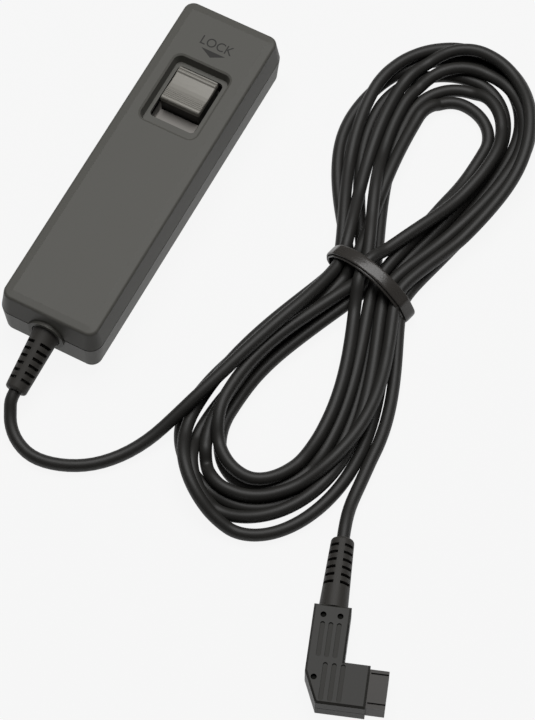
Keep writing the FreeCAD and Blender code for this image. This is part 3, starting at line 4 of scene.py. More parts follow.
import bpy
import numpy as np
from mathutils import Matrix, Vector


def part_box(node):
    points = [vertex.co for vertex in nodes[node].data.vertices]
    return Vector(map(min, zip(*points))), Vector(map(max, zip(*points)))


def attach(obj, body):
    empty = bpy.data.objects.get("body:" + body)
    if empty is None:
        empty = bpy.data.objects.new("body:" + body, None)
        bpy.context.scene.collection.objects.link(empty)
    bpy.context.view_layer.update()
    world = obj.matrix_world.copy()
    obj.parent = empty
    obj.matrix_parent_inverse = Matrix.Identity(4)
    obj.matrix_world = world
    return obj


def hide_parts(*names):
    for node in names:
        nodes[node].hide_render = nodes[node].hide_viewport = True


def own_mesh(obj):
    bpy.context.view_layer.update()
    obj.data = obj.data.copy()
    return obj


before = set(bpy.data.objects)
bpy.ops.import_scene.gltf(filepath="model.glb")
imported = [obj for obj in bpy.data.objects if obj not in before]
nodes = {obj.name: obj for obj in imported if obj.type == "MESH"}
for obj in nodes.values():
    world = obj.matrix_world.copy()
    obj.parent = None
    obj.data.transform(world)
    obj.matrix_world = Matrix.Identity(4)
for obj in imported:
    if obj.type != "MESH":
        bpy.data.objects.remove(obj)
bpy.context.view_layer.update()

# Looks of the cable shutter release. Lengths are written in millimetres and multiplied by MM.

MM = 0.001

# Camera and lamps

VIEW_TARGET = (47.30, -25.20, 0.0)
VIEW_AZIMUTH = 27.96
VIEW_ELEVATION = 63.0
VIEW_DISTANCE = 794.5
LENS = 166.8
SENSOR_WIDTH = 36.0
CLIP_NEAR, CLIP_FAR = 50.0, 20000.0
LAMP_PLACE, LAMP_AIM = (-50, 265, 860), (45, -10, 0)
LAMP_SIZE, LAMP_POWER = (780, 560), 5.8
WORLD_STRENGTH = 0.06


def camera_back():
    """The direction from the target to the camera, from its azimuth and elevation."""
    a, e = math.radians(VIEW_AZIMUTH), math.radians(VIEW_ELEVATION)
    return Vector((math.sin(a) * math.cos(e), -math.cos(a) * math.cos(e), math.sin(e)))


def add_camera():
    data = bpy.data.cameras.new("camera")
    data.lens = LENS
    data.sensor_width = SENSOR_WIDTH
    data.clip_start, data.clip_end = CLIP_NEAR * MM, CLIP_FAR * MM
    camera = bpy.data.objects.new("camera", data)
    bpy.context.collection.objects.link(camera)
    back = camera_back()
    camera.location = (Vector(VIEW_TARGET) + back * VIEW_DISTANCE) * MM
    camera.rotation_mode = "QUATERNION"
    camera.rotation_quaternion = (-back).to_track_quat("-Z", "Y")
    bpy.context.scene.camera = camera


def add_softbox(name, place, aim, width, height, power):
    """A rectangular lamp that faces the point it aims at. Places are in millimetres."""
    data = bpy.data.lights.new(name, "AREA")
    data.shape = "RECTANGLE"
    data.size, data.size_y = width * MM, height * MM
    data.energy = power
    lamp = bpy.data.objects.new(name, data)
    bpy.context.collection.objects.link(lamp)
    lamp.location = Vector(place) * MM
    direction = Vector(aim) - Vector(place)
    lamp.rotation_mode = "QUATERNION"
    lamp.rotation_quaternion = direction.to_track_quat("-Z", "Y")


# Shader helpers

class Signal:
    """One output socket of a shader tree, on which Python's operators add Math nodes."""

    def __init__(self, finish, socket):
        self.finish, self.socket = finish, socket

    def combine(self, operation, first, second=None):
        inputs = {0: first} if second is None else {0: first, 1: second}
        return self.finish.node("ShaderNodeMath", {"operation": operation}, inputs)

    def __add__(self, other):
        return self.combine("ADD", self, other)

    def __radd__(self, other):
        return self.combine("ADD", other, self)

    def __sub__(self, other):
        return self.combine("SUBTRACT", self, other)

    def __rsub__(self, other):
        return self.combine("SUBTRACT", other, self)

    def __mul__(self, other):
        return self.combine("MULTIPLY", self, other)

    def __rmul__(self, other):
        return self.combine("MULTIPLY", other, self)

    def clamped(self):
        return self.combine("MINIMUM", self.combine("MAXIMUM", self, 0.0), 1.0)

    def power(self, exponent):
        return self.combine("POWER", self, exponent)


class Finish:
    """A material under construction, with one method that adds any node."""

    def __init__(self, name):
        self.material = bpy.data.materials.new(name)
        self.material.use_nodes = True
        self.tree = self.material.node_tree
        self.shader = self.tree.nodes["Principled BSDF"]

    def node(self, kind, settings=None, inputs=None, output=0):
        """Adds a node, sets it, feeds its sockets with values or signals, and returns one output."""
        made = self.tree.nodes.new(kind)
        for name, value in (settings or {}).items():
            setattr(made, name, value)
        for name, value in (inputs or {}).items():
            self.feed(made.inputs[name], value)
        return Signal(self, made.outputs[output])

    def feed(self, socket, value):
        if isinstance(value, Signal):
            self.tree.links.new(value.socket, socket)
        else:
            socket.default_value = value

    def set(self, **inputs):
        """Sets the shader's own sockets, their names written with underscores."""
        for name, value in inputs.items():
            self.feed(self.shader.inputs[name.replace("_", " ")], value)
        return self

    def place(self):
        return self.node("ShaderNodeTexCoord", output="Object")

    def noise(self, size, detail=2.0, roughness=0.5, place=None):
        """Soft noise whose blotches are about size millimetres across."""
        return self.node("ShaderNodeTexNoise", {}, {
            "Vector": place or self.place(), "Scale": 1.0 / (size * MM), "Detail": detail,
            "Roughness": roughness})

    def cells(self, size, place=None):
        """Distance to the nearest of many scattered points about size millimetres apart."""
        return self.node("ShaderNodeTexVoronoi", {}, {
            "Vector": place or self.place(), "Scale": 1.0 / (size * MM)}, output="Distance")

    def blend(self, factor, low, high):
        """A colour between low and high."""
        return self.node("ShaderNodeMix", {"data_type": "RGBA"}, {
            "Factor": factor, "A": low, "B": high}, output=2)

    def relief(self, height, depth):
        """A bumped normal. The height runs from 0 to 1 and depth is in millimetres."""
        return self.node("ShaderNodeBump", {}, {
            "Height": height, "Distance": depth * MM, "Strength": 1.0})


def shade(red, green, blue):
    """A colour written as it looks on a screen, from 0 to 255, as linear values."""
    values = np.array([red, green, blue]) / 255.0
    linear = np.where(values <= 0.04045, values / 12.92, ((values + 0.055) / 1.055) ** 2.4)
    return (*[float(v) for v in linear], 1.0)


def between(colour, share):
    """A colour made lighter or darker by a share of itself."""
    return (*[min(1.0, v * (1.0 + share)) for v in colour[:3]], 1.0)


# Finishes

PLASTIC_IOR = 1.46
PLASTIC_GLEAM = 0.3
VINYL_IOR = 1.48


def moulded_plastic(name, colour, roughness, grain, depth, mottle=0.06):
    """Plastic from an etched mould: fine grain, faint flow mottle, roughness that wanders."""
    finish = Finish(name)
    broad = finish.noise(14.0, detail=3.0)
    fine = finish.noise(grain, detail=3.0, roughness=0.6)
    pits = finish.cells(grain * 1.6)
    height = fine * 0.6 + pits * 0.4
    factor = (broad * 0.6 + fine * 0.4).clamped()
    finish.set(Base_Color=finish.blend(factor, between(colour, -mottle), between(colour, mottle)),
               Roughness=roughness - 0.05 + broad * 0.06 + fine * 0.05,
               Normal=finish.relief(height, depth))
    finish.set(IOR=PLASTIC_IOR, Specular_IOR_Level=PLASTIC_GLEAM)
    return finish.material


def satin_cap(name, colour):
    """Silver-grey lacquered plastic with hair-fine lines across the thumb's travel."""
    finish = Finish(name)
    stretched = finish.node("ShaderNodeMapping", {"vector_type": "POINT"}, {
        "Vector": finish.place(), "Scale": (0.06, 1.0, 1.0)})
    hair = finish.noise(0.12, detail=2.0, place=stretched)
    broad = finish.noise(4.0)
    finish.set(Base_Color=finish.blend(hair, between(colour, -0.09), between(colour, 0.08)),
               Roughness=0.42 + broad * 0.08 + hair * 0.06,
               Metallic=0.1 + broad * 0.06,
               Normal=finish.relief(hair, 0.006))
    return finish.material


def cable_jacket(name, colour):
    """Soft vinyl: a dull skin with long faint drag marks, fine pores and a light bloom."""
    finish = Finish(name)
    broad = finish.noise(9.0, detail=3.0)
    fine = finish.noise(0.35, detail=2.0)
    height = fine * 0.7 + broad * 0.3
    finish.set(Base_Color=finish.blend(broad, between(colour, -0.12), between(colour, 0.14)),
               Roughness=0.44 + broad * 0.08 + fine * 0.05,
               Normal=finish.relief(height, 0.012))
    finish.set(IOR=VINYL_IOR)
    return finish.material


def strap_vinyl(name, colour):
    """Smooth glossy vinyl strap with shallow waves and a few scuffs."""
    finish = Finish(name)
    broad = finish.noise(2.6, detail=2.0)
    scuffs = finish.noise(0.5, detail=4.0, roughness=0.7).power(3.0)
    finish.set(Base_Color=finish.blend(broad, between(colour, -0.1), between(colour, 0.1)),
               Roughness=0.2 + scuffs * 0.4,
               Normal=finish.relief(broad, 0.08))
    return finish.material


def sheet_metal(name, colour, roughness):
    """Rolled or drawn metal with a fine lay and patches of dulled surface."""
    finish = Finish(name)
    stretched = finish.node("ShaderNodeMapping", {"vector_type": "POINT"}, {
        "Vector": finish.place(), "Scale": (1.0, 0.08, 1.0)})
    lay = finish.noise(0.15, detail=2.0, place=stretched)
    dulled = finish.noise(2.0, detail=3.0)
    finish.set(Base_Color=finish.blend(dulled, between(colour, -0.12), between(colour, 0.06)),
               Roughness=roughness + lay * 0.08 + dulled * 0.1, Metallic=1.0,
               Normal=finish.relief(lay, 0.004))
    return finish.material


# Places on the plug in its own frame for the painted shade in its holes and grooves, and a mask's
# rise from 0 to 1 per metre at its edge.
PLUG_PLACE = (91.45, -76.5)
PLUG_TURN = math.radians(20.0)
PLUG_TOP = 7.0
PLUG_HOLE_DEPTH = 0.7
PLUG_HOLE_SPHERE = 0.88
PLUG_HOLES = ((-1.9, -2.6), (2.0, -2.6), (-2.1, -17.9))
GROOVE_LEFT, GROOVE_RIGHT = -2.45, 4.85
GROOVE_NEAR, GROOVE_FAR = -23.6, -4.2
GROOVE_START_DEPTH = 0.05
GROOVE_PAINTED_SHADE = 0.45
MASK_RISE = 9000.0


def plug_top_finish(name, colour, painted_shade_colour):
    """Moulded plastic with painted shade in its blind holes and grooves.

    Each hole has a painted shadow, dark inside a small sphere about the middle of its floor, and is
    metallic there so that nothing gleams. Each groove has painted shade that darkens it below the
    top face, within the oblong that holds them all."""
    finish = Finish(name)
    fine = finish.noise(0.3, detail=3.0, roughness=0.6)
    plain = finish.blend(fine, between(colour, -0.06), between(colour, 0.06))
    turned = finish.node("ShaderNodeMapping", {"vector_type": "TEXTURE"}, {
        "Vector": finish.place(), "Location": (PLUG_PLACE[0] * MM, PLUG_PLACE[1] * MM, 0.0),
        "Rotation": (0.0, 0.0, PLUG_TURN)})
    # Painted shadow: black inside each blind hole.
    shadow = 0.0
    for x, y in PLUG_HOLES:
        reach = finish.node("ShaderNodeVectorMath", {"operation": "DISTANCE"}, {
            0: turned, 1: (x * MM, y * MM, (PLUG_TOP - PLUG_HOLE_DEPTH) * MM)}, output=1)
        shadow = shadow + ((PLUG_HOLE_SPHERE * MM - reach) * MASK_RISE).clamped()
    across, along, height = [finish.node("ShaderNodeSeparateXYZ", {}, {0: turned}, output=axis)
                             for axis in range(3)]
    # Painted shade in the grooves, below the top face.
    groove_shade = 1.0
    for gap in (across - GROOVE_LEFT * MM, GROOVE_RIGHT * MM - across, along - GROOVE_NEAR * MM,
                GROOVE_FAR * MM - along, (PLUG_TOP - GROOVE_START_DEPTH) * MM - height):
        groove_shade = groove_shade * (gap * MASK_RISE).clamped()
    shadow = (shadow + groove_shade * GROOVE_PAINTED_SHADE).clamped()
    # Metallic where shade is painted, so that the painted shadow shows no reflection.
    finish.set(Base_Color=finish.blend(shadow, plain, painted_shade_colour), Metallic=shadow,
               Roughness=0.42 + fine * 0.08, Normal=finish.relief(fine, 0.008))
    finish.set(IOR=PLASTIC_IOR, Specular_IOR_Level=PLASTIC_GLEAM)
    return finish.material


CASE_GREY = shade(97, 96, 91)
CORD_GREY = shade(44, 43, 41)

case_plastic = moulded_plastic("case_plastic", CASE_GREY, 0.46, 0.45, 0.012)
recess_plastic = moulded_plastic("recess_plastic", shade(60, 59, 56), 0.5, 0.45, 0.01)
cap_finish = satin_cap("cap_finish", shade(150, 147, 140))
slide_finish = moulded_plastic("slide_finish", shade(150, 146, 141), 0.4, 0.3, 0.006)
inner_plastic = moulded_plastic("inner_plastic", shade(52, 52, 50), 0.45, 0.5, 0.01)
boot_rubber = moulded_plastic("boot_rubber", shade(66, 64, 61), 0.5, 0.3, 0.01)
# The last colour is the painted shade in the plug's holes and grooves.
plug_top = plug_top_finish("plug_top", shade(58, 57, 54), shade(14, 14, 13))
nose_plastic = moulded_plastic("nose_plastic", shade(72, 69, 66), 0.42, 0.3, 0.006)
board_laminate = moulded_plastic("board_laminate", shade(140, 104, 60), 0.5, 0.6, 0.01)
letter_ink = moulded_plastic("letter_ink", shade(44, 43, 41), 0.5, 0.3, 0.006)
jacket_vinyl = cable_jacket("jacket_vinyl", CORD_GREY)
tie_vinyl = strap_vinyl("tie_vinyl", shade(66, 63, 60))
steel = sheet_metal("steel", shade(176, 176, 178), 0.3)
spring_bronze = sheet_metal("spring_bronze", shade(196, 148, 92), 0.28)
gold_plate = sheet_metal("gold_plate", shade(218, 178, 96), 0.25)
red_wire = cable_jacket("red_wire", shade(150, 34, 28))
white_wire = cable_jacket("white_wire", shade(196, 192, 184))
black_wire = cable_jacket("black_wire", shade(36, 36, 36))

NODE_FINISHES = {
    "upper_shell": case_plastic, "lower_shell": case_plastic, "case_screws": steel,
    "button_cap": cap_finish, "button_plunger": recess_plastic, "lock_slider": slide_finish,
    "slide_frame": inner_plastic, "contact_board": board_laminate,
    "release_leaf": spring_bronze, "focus_terminal": spring_bronze,
    "common_terminal": spring_bronze, "focus_leaf": spring_bronze, "common_leaf": spring_bronze,
    "leaf_spacers": inner_plastic, "leaf_rivets": steel, "handset_boot": boot_rubber,
    "cord_clamp": inner_plastic, "clamp_screws": steel, "wire_common": black_wire,
    "wire_focus": white_wire, "wire_release": red_wire, "plug_boot": boot_rubber,
    "plug_shell_lower": plug_top, "plug_shell_upper": plug_top,
    "plug_nose": nose_plastic, "plug_pins": gold_plate, "plug_wires": white_wire,
}


def dress_nodes():
    """Puts each carried-over solid's finish in all of its material slots."""
    for name, material in NODE_FINISHES.items():
        data = nodes[name].data
        if not data.materials:
            data.materials.append(material)
        for index in range(len(data.materials)):
            data.materials[index] = material


# Mesh helpers

def add_mesh(name, points, faces, material, smooth=True):
    """A mesh object at the origin from an array of points in millimetres and a list of faces."""
    data = bpy.data.meshes.new(name)
    data.from_pydata((np.asarray(points) * MM).tolist(), [], [list(face) for face in faces])
    data.polygons.foreach_set("use_smooth", [smooth] * len(data.polygons))
    data.materials.append(material)
    data.update()
    made = bpy.data.objects.new(name, data)
    bpy.context.collection.objects.link(made)
    return made


def tube_faces(rings, around):
    """Faces of a closed tube of rings, each a run of points around it, with a flat cap at each end.

    They face outwards where a ring's points turn the right-handed way about the tube's course."""
    i, j = np.meshgrid(np.arange(rings - 1), np.arange(around), indexing="ij")
    right = (j + 1) % around
    corners = (i * around + j, i * around + right, (i + 1) * around + right, (i + 1) * around + j)
    sides = np.stack(corners, -1).reshape(-1, 4).tolist()
    last = (rings - 1) * around
    return sides + [list(range(around))[::-1], list(range(last, last + around))]


# Floor

FLOOR_HALF = 1500.0
FLOOR_LEVEL = -0.05
FLOOR_GREY = (0.4, 0.4, 0.4, 1.0)
FLOOR_GLOW = 0.9


def whiten_floor(finish):
    """Paper that keeps the object's shadow and is near white to the camera and in reflections."""
    path = finish.tree.nodes.new("ShaderNodeLightPath")
    seen, mirrored, passed = [Signal(finish, path.outputs[f"Is {kind} Ray"])
                              for kind in ("Camera", "Glossy", "Transmission")]
    glow = finish.node("ShaderNodeEmission", {}, {"Color": (1.0, 1.0, 1.0, 1.0), "Strength": 1.0})
    share = (seen + mirrored + passed).clamped() * FLOOR_GLOW
    paper = Signal(finish, finish.shader.outputs[0])
    mixed = finish.node("ShaderNodeMixShader", {}, {0: share, 1: paper, 2: glow})
    finish.feed(finish.tree.nodes["Material Output"].inputs["Surface"], mixed)


# Cable

CORD_RADIUS = 1.55
CORD_DIAMETER = 2 * CORD_RADIUS
WAIST_Y = 3.0
LEVEL_RISE = 0.92 * CORD_DIAMETER
WAIST_PULL = 0.45
LOOP_PULL = 1.3
ROUND = 1.657
STEPS = 24
STEPS_PER_POINT = 2
SEGMENTS_PER_POINT = 3
CORD_ROUNDNESS = 5
LEAST_RUN_BETWEEN = 3.5 * CORD_DIAMETER
CELL = 5
SETTLE_ROUNDS = 400
SETTLE_DROP = 0.05
SETTLE_EVENING = 0.3
LIFTS_PER_ROUND = 2
TIE_ROOM = 0.95
TIE_ROOM_REACH = 11.0

BOOT_END = (0.0, -62.77, 5.34)
BOOT_TURN = math.radians(12.0)
BOOT_LENGTH = 15.2
PLUG_BOOT_LENGTH = 17.8
PLUG_BOOT_MIDDLE = 8.0
PLUG_CORD_TAIL = 2.1
PLUG_MIDDLE = 3.5
BOOT_STRAIGHT = 2.2
PLUG_STRAIGHT = 4.0
BOOT_AXIS = np.array([0.0, math.cos(BOOT_TURN), math.sin(BOOT_TURN)])
PLUG_AXIS = np.array([-math.sin(PLUG_TURN), math.cos(PLUG_TURN), 0.0])
PLUG_ORIGIN = np.array([*PLUG_PLACE, PLUG_MIDDLE])

# One turn of the hank, in the order of the cord: where it passes up the waist, the left, top and
# right of its upper loop, where it passes down the waist, and the right, bottom and left of its
# lower loop. Each has x, y (but at the waist) and a level, 0 on the table, 1 a diameter higher.

Turn = namedtuple("Turn", "up left top right down low_right bottom low_left")
TURNS = [
    Turn(up=(51.9, 0.9), left=(41.9, 53.0, 1.2), top=(56.5, 72.4, 1.2), right=(78.5, 44.5, 1.2),
         down=(67.9, 0.9), low_right=(76.2, -31.0, 1.9), bottom=(55.6, -61.2, 1.2),
         low_left=(44.0, -44.0, 0.5)),
    Turn(up=(54.9, 1.2), left=(49.4, 49.6, 1.6), top=(57.5, 59.2, 0.0), right=(67.8, 50.0, 0.0),
         down=(61.7, 0.9), low_right=(71.0, -40.0, 0.3), bottom=(57.5, -57.3, 0.0),
         low_left=(46.4, -42.8, 0.0)),
    Turn(up=(60.2, 0.0), left=(46.9, 50.5, 0.2), top=(58.8, 63.4, 1.0), right=(71.4, 46.7, 1.0),
         down=(58.0, 2.0), low_right=(68.6, -38.0, 1.0), bottom=(58.0, -56.4, 1.0),
         low_left=(44.6, -40.3, 1.0)),
    Turn(up=(58.1, 0.9), left=(44.6, 51.0, 1.0), top=(59.0, 68.8, 1.0), right=(76.5, 48.5, 1.0),
         down=(64.8, 0.9), low_right=(75.8, -41.0, 1.0), bottom=(56.6, -66.1, 0.3),
         low_left=(42.4, -48.5, 0.0)),
    Turn(up=(57.1, 0.0), left=(39.3, 48.0, 0.0), top=(57.5, 66.6, 0.0), right=(71.2, 49.5, 0.0),
         down=(63.2, 0.0), low_right=(73.6, -42.0, 0.0), bottom=(57.0, -63.0, 0.0),
         low_left=(37.2, -46.5, 0.0)),
    Turn(up=(54.0, 0.0), left=(34.4, 42.5, 0.0), top=(57.0, 71.5, 0.0), right=(74.0, 52.0, 0.0),
         down=(66.3, 0.0), low_right=(78.6, -41.0, 0.0), bottom=(60.6, -69.0, 0.2),
         low_left=(39.1, -45.3, 0.9)),
    Turn(up=(51.0, 0.0), left=(36.4, 51.0, 0.2), top=(56.4, 73.6, 0.2), right=(77.0, 51.5, 0.0),
         down=(69.3, 0.0), low_right=(81.4, -38.0, 0.0), bottom=None, low_left=None),
]
UP, RIGHT, DOWN, LEFT = (0, 1), (1, 0), (0, -1), (-1, 0)


def hank_keys():
    """Place and heading of the cord at each named point of its turns."""
    keys = []
    for turn in TURNS:
        keys += [((turn.up[0], WAIST_Y, turn.up[1]), UP), (turn.left, UP), (turn.top, RIGHT),
                 (turn.right, DOWN), ((turn.down[0], WAIST_Y, turn.down[1]), DOWN),
                 (turn.low_right, DOWN)]
        if turn.bottom:
            keys += [(turn.bottom, LEFT), (turn.low_left, UP)]
    return keys


def pulls(start, end, leaves, arrives):
    """How far the cord keeps its heading at both ends of a stretch, as lengths of tangents.

    A quarter of a loop has tangents ROUND times its own reach, as a quarter of an ellipse has. A
    straight flank has long ones at the loop and short ones at the waist, where the tie holds it."""
    reach = np.abs(end - start)
    if leaves != arrives:
        return ROUND * reach[1 if leaves[1] else 0], ROUND * reach[1 if arrives[1] else 0]
    return [reach[1] * (WAIST_PULL if point[1] == WAIST_Y else LOOP_PULL) for point in (start, end)]


def hank_line():
    """The hank's line before it settles.

    Between two keys it is the cubic with their places and headings."""
    keys = hank_keys()
    u = (np.arange(STEPS) / STEPS)[:, None]
    line = []
    for (start, leaves), (end, arrives) in zip(keys[:-1], keys[1:]):
        start, end = np.array(start), np.array(end)
        leave, arrive = pulls(start, end, leaves, arrives)
        line.append(start * (2 * u ** 3 - 3 * u ** 2 + 1) + end * (3 * u ** 2 - 2 * u ** 3)
                    + leave * np.array([*leaves, 0.0]) * (u ** 3 - 2 * u ** 2 + u)
                    + arrive * np.array([*arrives, 0.0]) * (u ** 3 - u ** 2))
    line = np.concatenate(line + [[keys[-1][0]]])
    line[:, 2] = CORD_RADIUS + line[:, 2] * LEVEL_RISE
    return line


def contacts(line):
    """Pairs of points whose stretches of cord lie across each other, the upper one first.

    Seen from above they are less than a diameter apart. Neighbouring pairs, found by cells of CELL
    points, make up one contact, and through the whole of it the same stretch is above, the one
    whose level is higher on average."""
    run = np.concatenate([[0.0], np.cumsum(np.linalg.norm(np.diff(line, axis=0), axis=1))])
    apart = np.linalg.norm(line[:, None, :2] - line[None, :, :2], axis=2)
    along = run[None, :] - run[:, None]
    first, second = np.nonzero((apart < CORD_DIAMETER) & (along > LEAST_RUN_BETWEEN))
    over = line[first, 2] - line[second, 2]
    cells = {}
    for row, cell in enumerate(zip((first // CELL).tolist(), (second // CELL).tolist())):
        cells.setdefault(cell, []).append(row)
    unseen = set(cells)
    while unseen:
        rows, edge = [], [unseen.pop()]
        while edge:
            i, j = edge.pop()
            rows += cells[i, j]
            near = {(i + a, j + b) for a in (-1, 0, 1) for b in (-1, 0, 1)} & unseen
            unseen -= near
            edge += near
        over[rows] = over[rows].mean()
    upper, lower = np.where(over < 0, second, first), np.where(over < 0, first, second)
    return upper, lower, np.sqrt(CORD_DIAMETER ** 2 - apart[first, second] ** 2)


def settled(line):
    """The line let down onto the table and onto itself, its course seen from above kept.

    Each round lowers every point a little, evens it out with its neighbours, and then lifts upper
    and lowers lower points of each contact until they are a diameter apart."""
    upper, lower, clear = contacts(line)
    rest = CORD_RADIUS + TIE_ROOM * np.exp(-((line[:, 1] - WAIST_Y) / TIE_ROOM_REACH) ** 2)
    height = line[:, 2].copy()
    for _ in range(SETTLE_ROUNDS):
        height -= SETTLE_DROP
        height[1:-1] += SETTLE_EVENING * ((height[:-2] + height[2:]) / 2 - height[1:-1])
        for _ in range(LIFTS_PER_ROUND):
            miss = np.maximum(clear - (height[upper] - height[lower]), 0.0) / 2
            lift, press = np.zeros_like(height), np.zeros_like(height)
            np.maximum.at(lift, upper, miss)
            np.maximum.at(press, lower, miss)
            height = np.maximum(height + lift - press, rest)
    return np.concatenate([line[:, :2], height[:, None]], axis=1)


def handset_lead_points():
    """From the boot over the table, up onto the loops and along them to the tie."""
    end = np.array(BOOT_END)
    straight = end - BOOT_AXIS * BOOT_STRAIGHT
    rest = [(0.9, -66.8, 3.6), (2.4, -69.6, 2.4), (5.4, -72.3, 1.55), (10.0, -74.2, 1.55),
            (15.0, -73.9, 1.55), (20.5, -71.9, 1.55), (25.4, -68.6, 1.55), (29.9, -63.4, 1.6),
            (33.6, -57.3, 2.8), (36.4, -51.0, 5.4), (38.9, -44.5, 7.6), (41.3, -37.8, 8.8),
            (44.2, -28.5, 9.9), (47.1, -19.0, 9.9), (49.6, -11.0, 9.2), (51.2, -3.5, 7.8)]
    return np.concatenate([[end, straight], rest])


def plug_lead_points():
    """From beneath the loops over the table to the plug's boot."""
    end = PLUG_ORIGIN + PLUG_AXIS * PLUG_BOOT_LENGTH
    rest = [(82.0, -44.5, 1.55), (82.5, -50.5, 1.9)]
    return np.concatenate([rest, [end + PLUG_AXIS * PLUG_STRAIGHT, end]])


def add_curve(name, points, radius, material):
    """A round cord along a smooth line with the points as its control points."""
    data = bpy.data.curves.new(name, "CURVE")
    data.dimensions = "3D"
    data.bevel_depth = radius * MM
    data.bevel_resolution = CORD_ROUNDNESS
    data.use_fill_caps = True
    spline = data.splines.new("NURBS")
    spline.points.add(len(points) - 1)
    rows = np.concatenate([np.asarray(points) * MM, np.ones((len(points), 1))], axis=1)
    spline.points.foreach_set("co", rows.ravel())
    spline.order_u = 3
    spline.use_endpoint_u = True
    spline.resolution_u = SEGMENTS_PER_POINT
    data.resolution_u = SEGMENTS_PER_POINT
    data.materials.append(material)
    made = bpy.data.objects.new(name, data)
    bpy.context.collection.objects.link(made)
    return made


def add_cable(hank):
    points = np.concatenate([handset_lead_points(), hank[::STEPS_PER_POINT], plug_lead_points()])
    cable = add_curve("cable", points, CORD_RADIUS, jacket_vinyl)
    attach(cable, "handset")
    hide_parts("cable_lead_handset", "cable_hank", "cable_lead_plug")
    return cable


def add_jacket_ends():
    """The cord inside the handset and its boot, and inside the plug and its boot."""
    end = np.array(BOOT_END)
    root = end + BOOT_AXIS * BOOT_LENGTH
    inner = np.array([0.0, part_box("cord_inner_end")[1][1] / MM, root[2]])
    inside = [end, end * 0.25 + root * 0.75, root, root * 0.75 + inner * 0.25, inner]
    plug_end = [PLUG_ORIGIN + PLUG_AXIS * reach
                for reach in (PLUG_BOOT_LENGTH, PLUG_BOOT_MIDDLE, -PLUG_CORD_TAIL)]
    for name, points, node in (("jacket_in_handset", inside, "cord_inner_end"),
                               ("jacket_in_plug", plug_end, "plug_cord_end")):
        jacket = add_curve(name, np.array(points), CORD_RADIUS, jacket_vinyl)
        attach(jacket, "handset")
        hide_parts(node)


# Tie

TIE_WIDTH = 3.3
TIE_THICKNESS = 0.6
TIE_GAP = 0.06
TIE_TURNS = 1.62
TIE_START = math.radians(215.0)
TIE_SHIFT = 0.6
TIE_ARCH = (10.0, 3.0)
TIE_ARCH_REACH = (11.2, 7.7)
TIE_ARCH_ENDS = (15.0, 165.0)
TIE_ARCH_POINTS = 76
TIE_DIRECTIONS = 1440
TIE_STEPS_PER_TURN = 240
TIE_SECTION_POINTS = 32
TIE_SQUARENESS = 0.45
TIE_CROWN = 0.8
TIE_CLIMB_START = 0.88
TIE_DRIFT_START = 0.5
TIE_END_STEPS = 4.0
TIE_X = 50.0
TIE_Y = 4.9
TIE_SLOPE = math.radians(-14.5)


def crossing_strands(line):
    """Where the hank's line passes through the tie's plane: distance along the tie, and height."""
    across = line[:, 1] - TIE_Y - math.tan(TIE_SLOPE) * (line[:, 0] - TIE_X)
    rows = np.nonzero(np.diff(np.sign(across)))[0]
    share = (across[rows] / (across[rows] - across[rows + 1]))[:, None]
    points = line[rows] * (1 - share) + line[rows + 1] * share
    return np.stack([(points[:, 0] - TIE_X) / math.cos(TIE_SLOPE), points[:, 2]], axis=1)


def bundle_outline(strands, count):
    """Even points and outward normals of the band round the strands, once round.

    In each direction the band touches what reaches furthest that way, a strand or the arch, half
    an ellipse over the strands, along which the stiff strip bows instead of following each one."""
    bow = np.radians(np.linspace(*TIE_ARCH_ENDS, TIE_ARCH_POINTS))
    arch = np.stack([np.cos(bow), np.sin(bow)], axis=1) * TIE_ARCH_REACH + TIE_ARCH
    centres = np.concatenate([strands, arch])
    radius = np.where(np.arange(len(centres)) < len(strands), CORD_RADIUS, 0.0)
    angle = TIE_START - np.linspace(0, 2 * math.pi, TIE_DIRECTIONS + 1)
    normal = np.stack([np.cos(angle), np.sin(angle)], axis=1)
    furthest = np.argmax(normal @ centres.T + radius, axis=1)
    touch = centres[furthest] + normal * radius[furthest, None]
    run = np.concatenate([[0.0], np.cumsum(np.linalg.norm(np.diff(touch, axis=0), axis=1))])
    want = np.linspace(0, run[-1], count, endpoint=False)
    even = [np.interp(want, run, row) for row in (*touch.T, *normal.T)]
    outline, normals = np.stack(even[:2], axis=1), np.stack(even[2:], axis=1)
    return outline, normals / np.linalg.norm(normals, axis=1, keepdims=True)


def signed_power(values, exponent):
    return np.sign(values) * np.abs(values) ** exponent


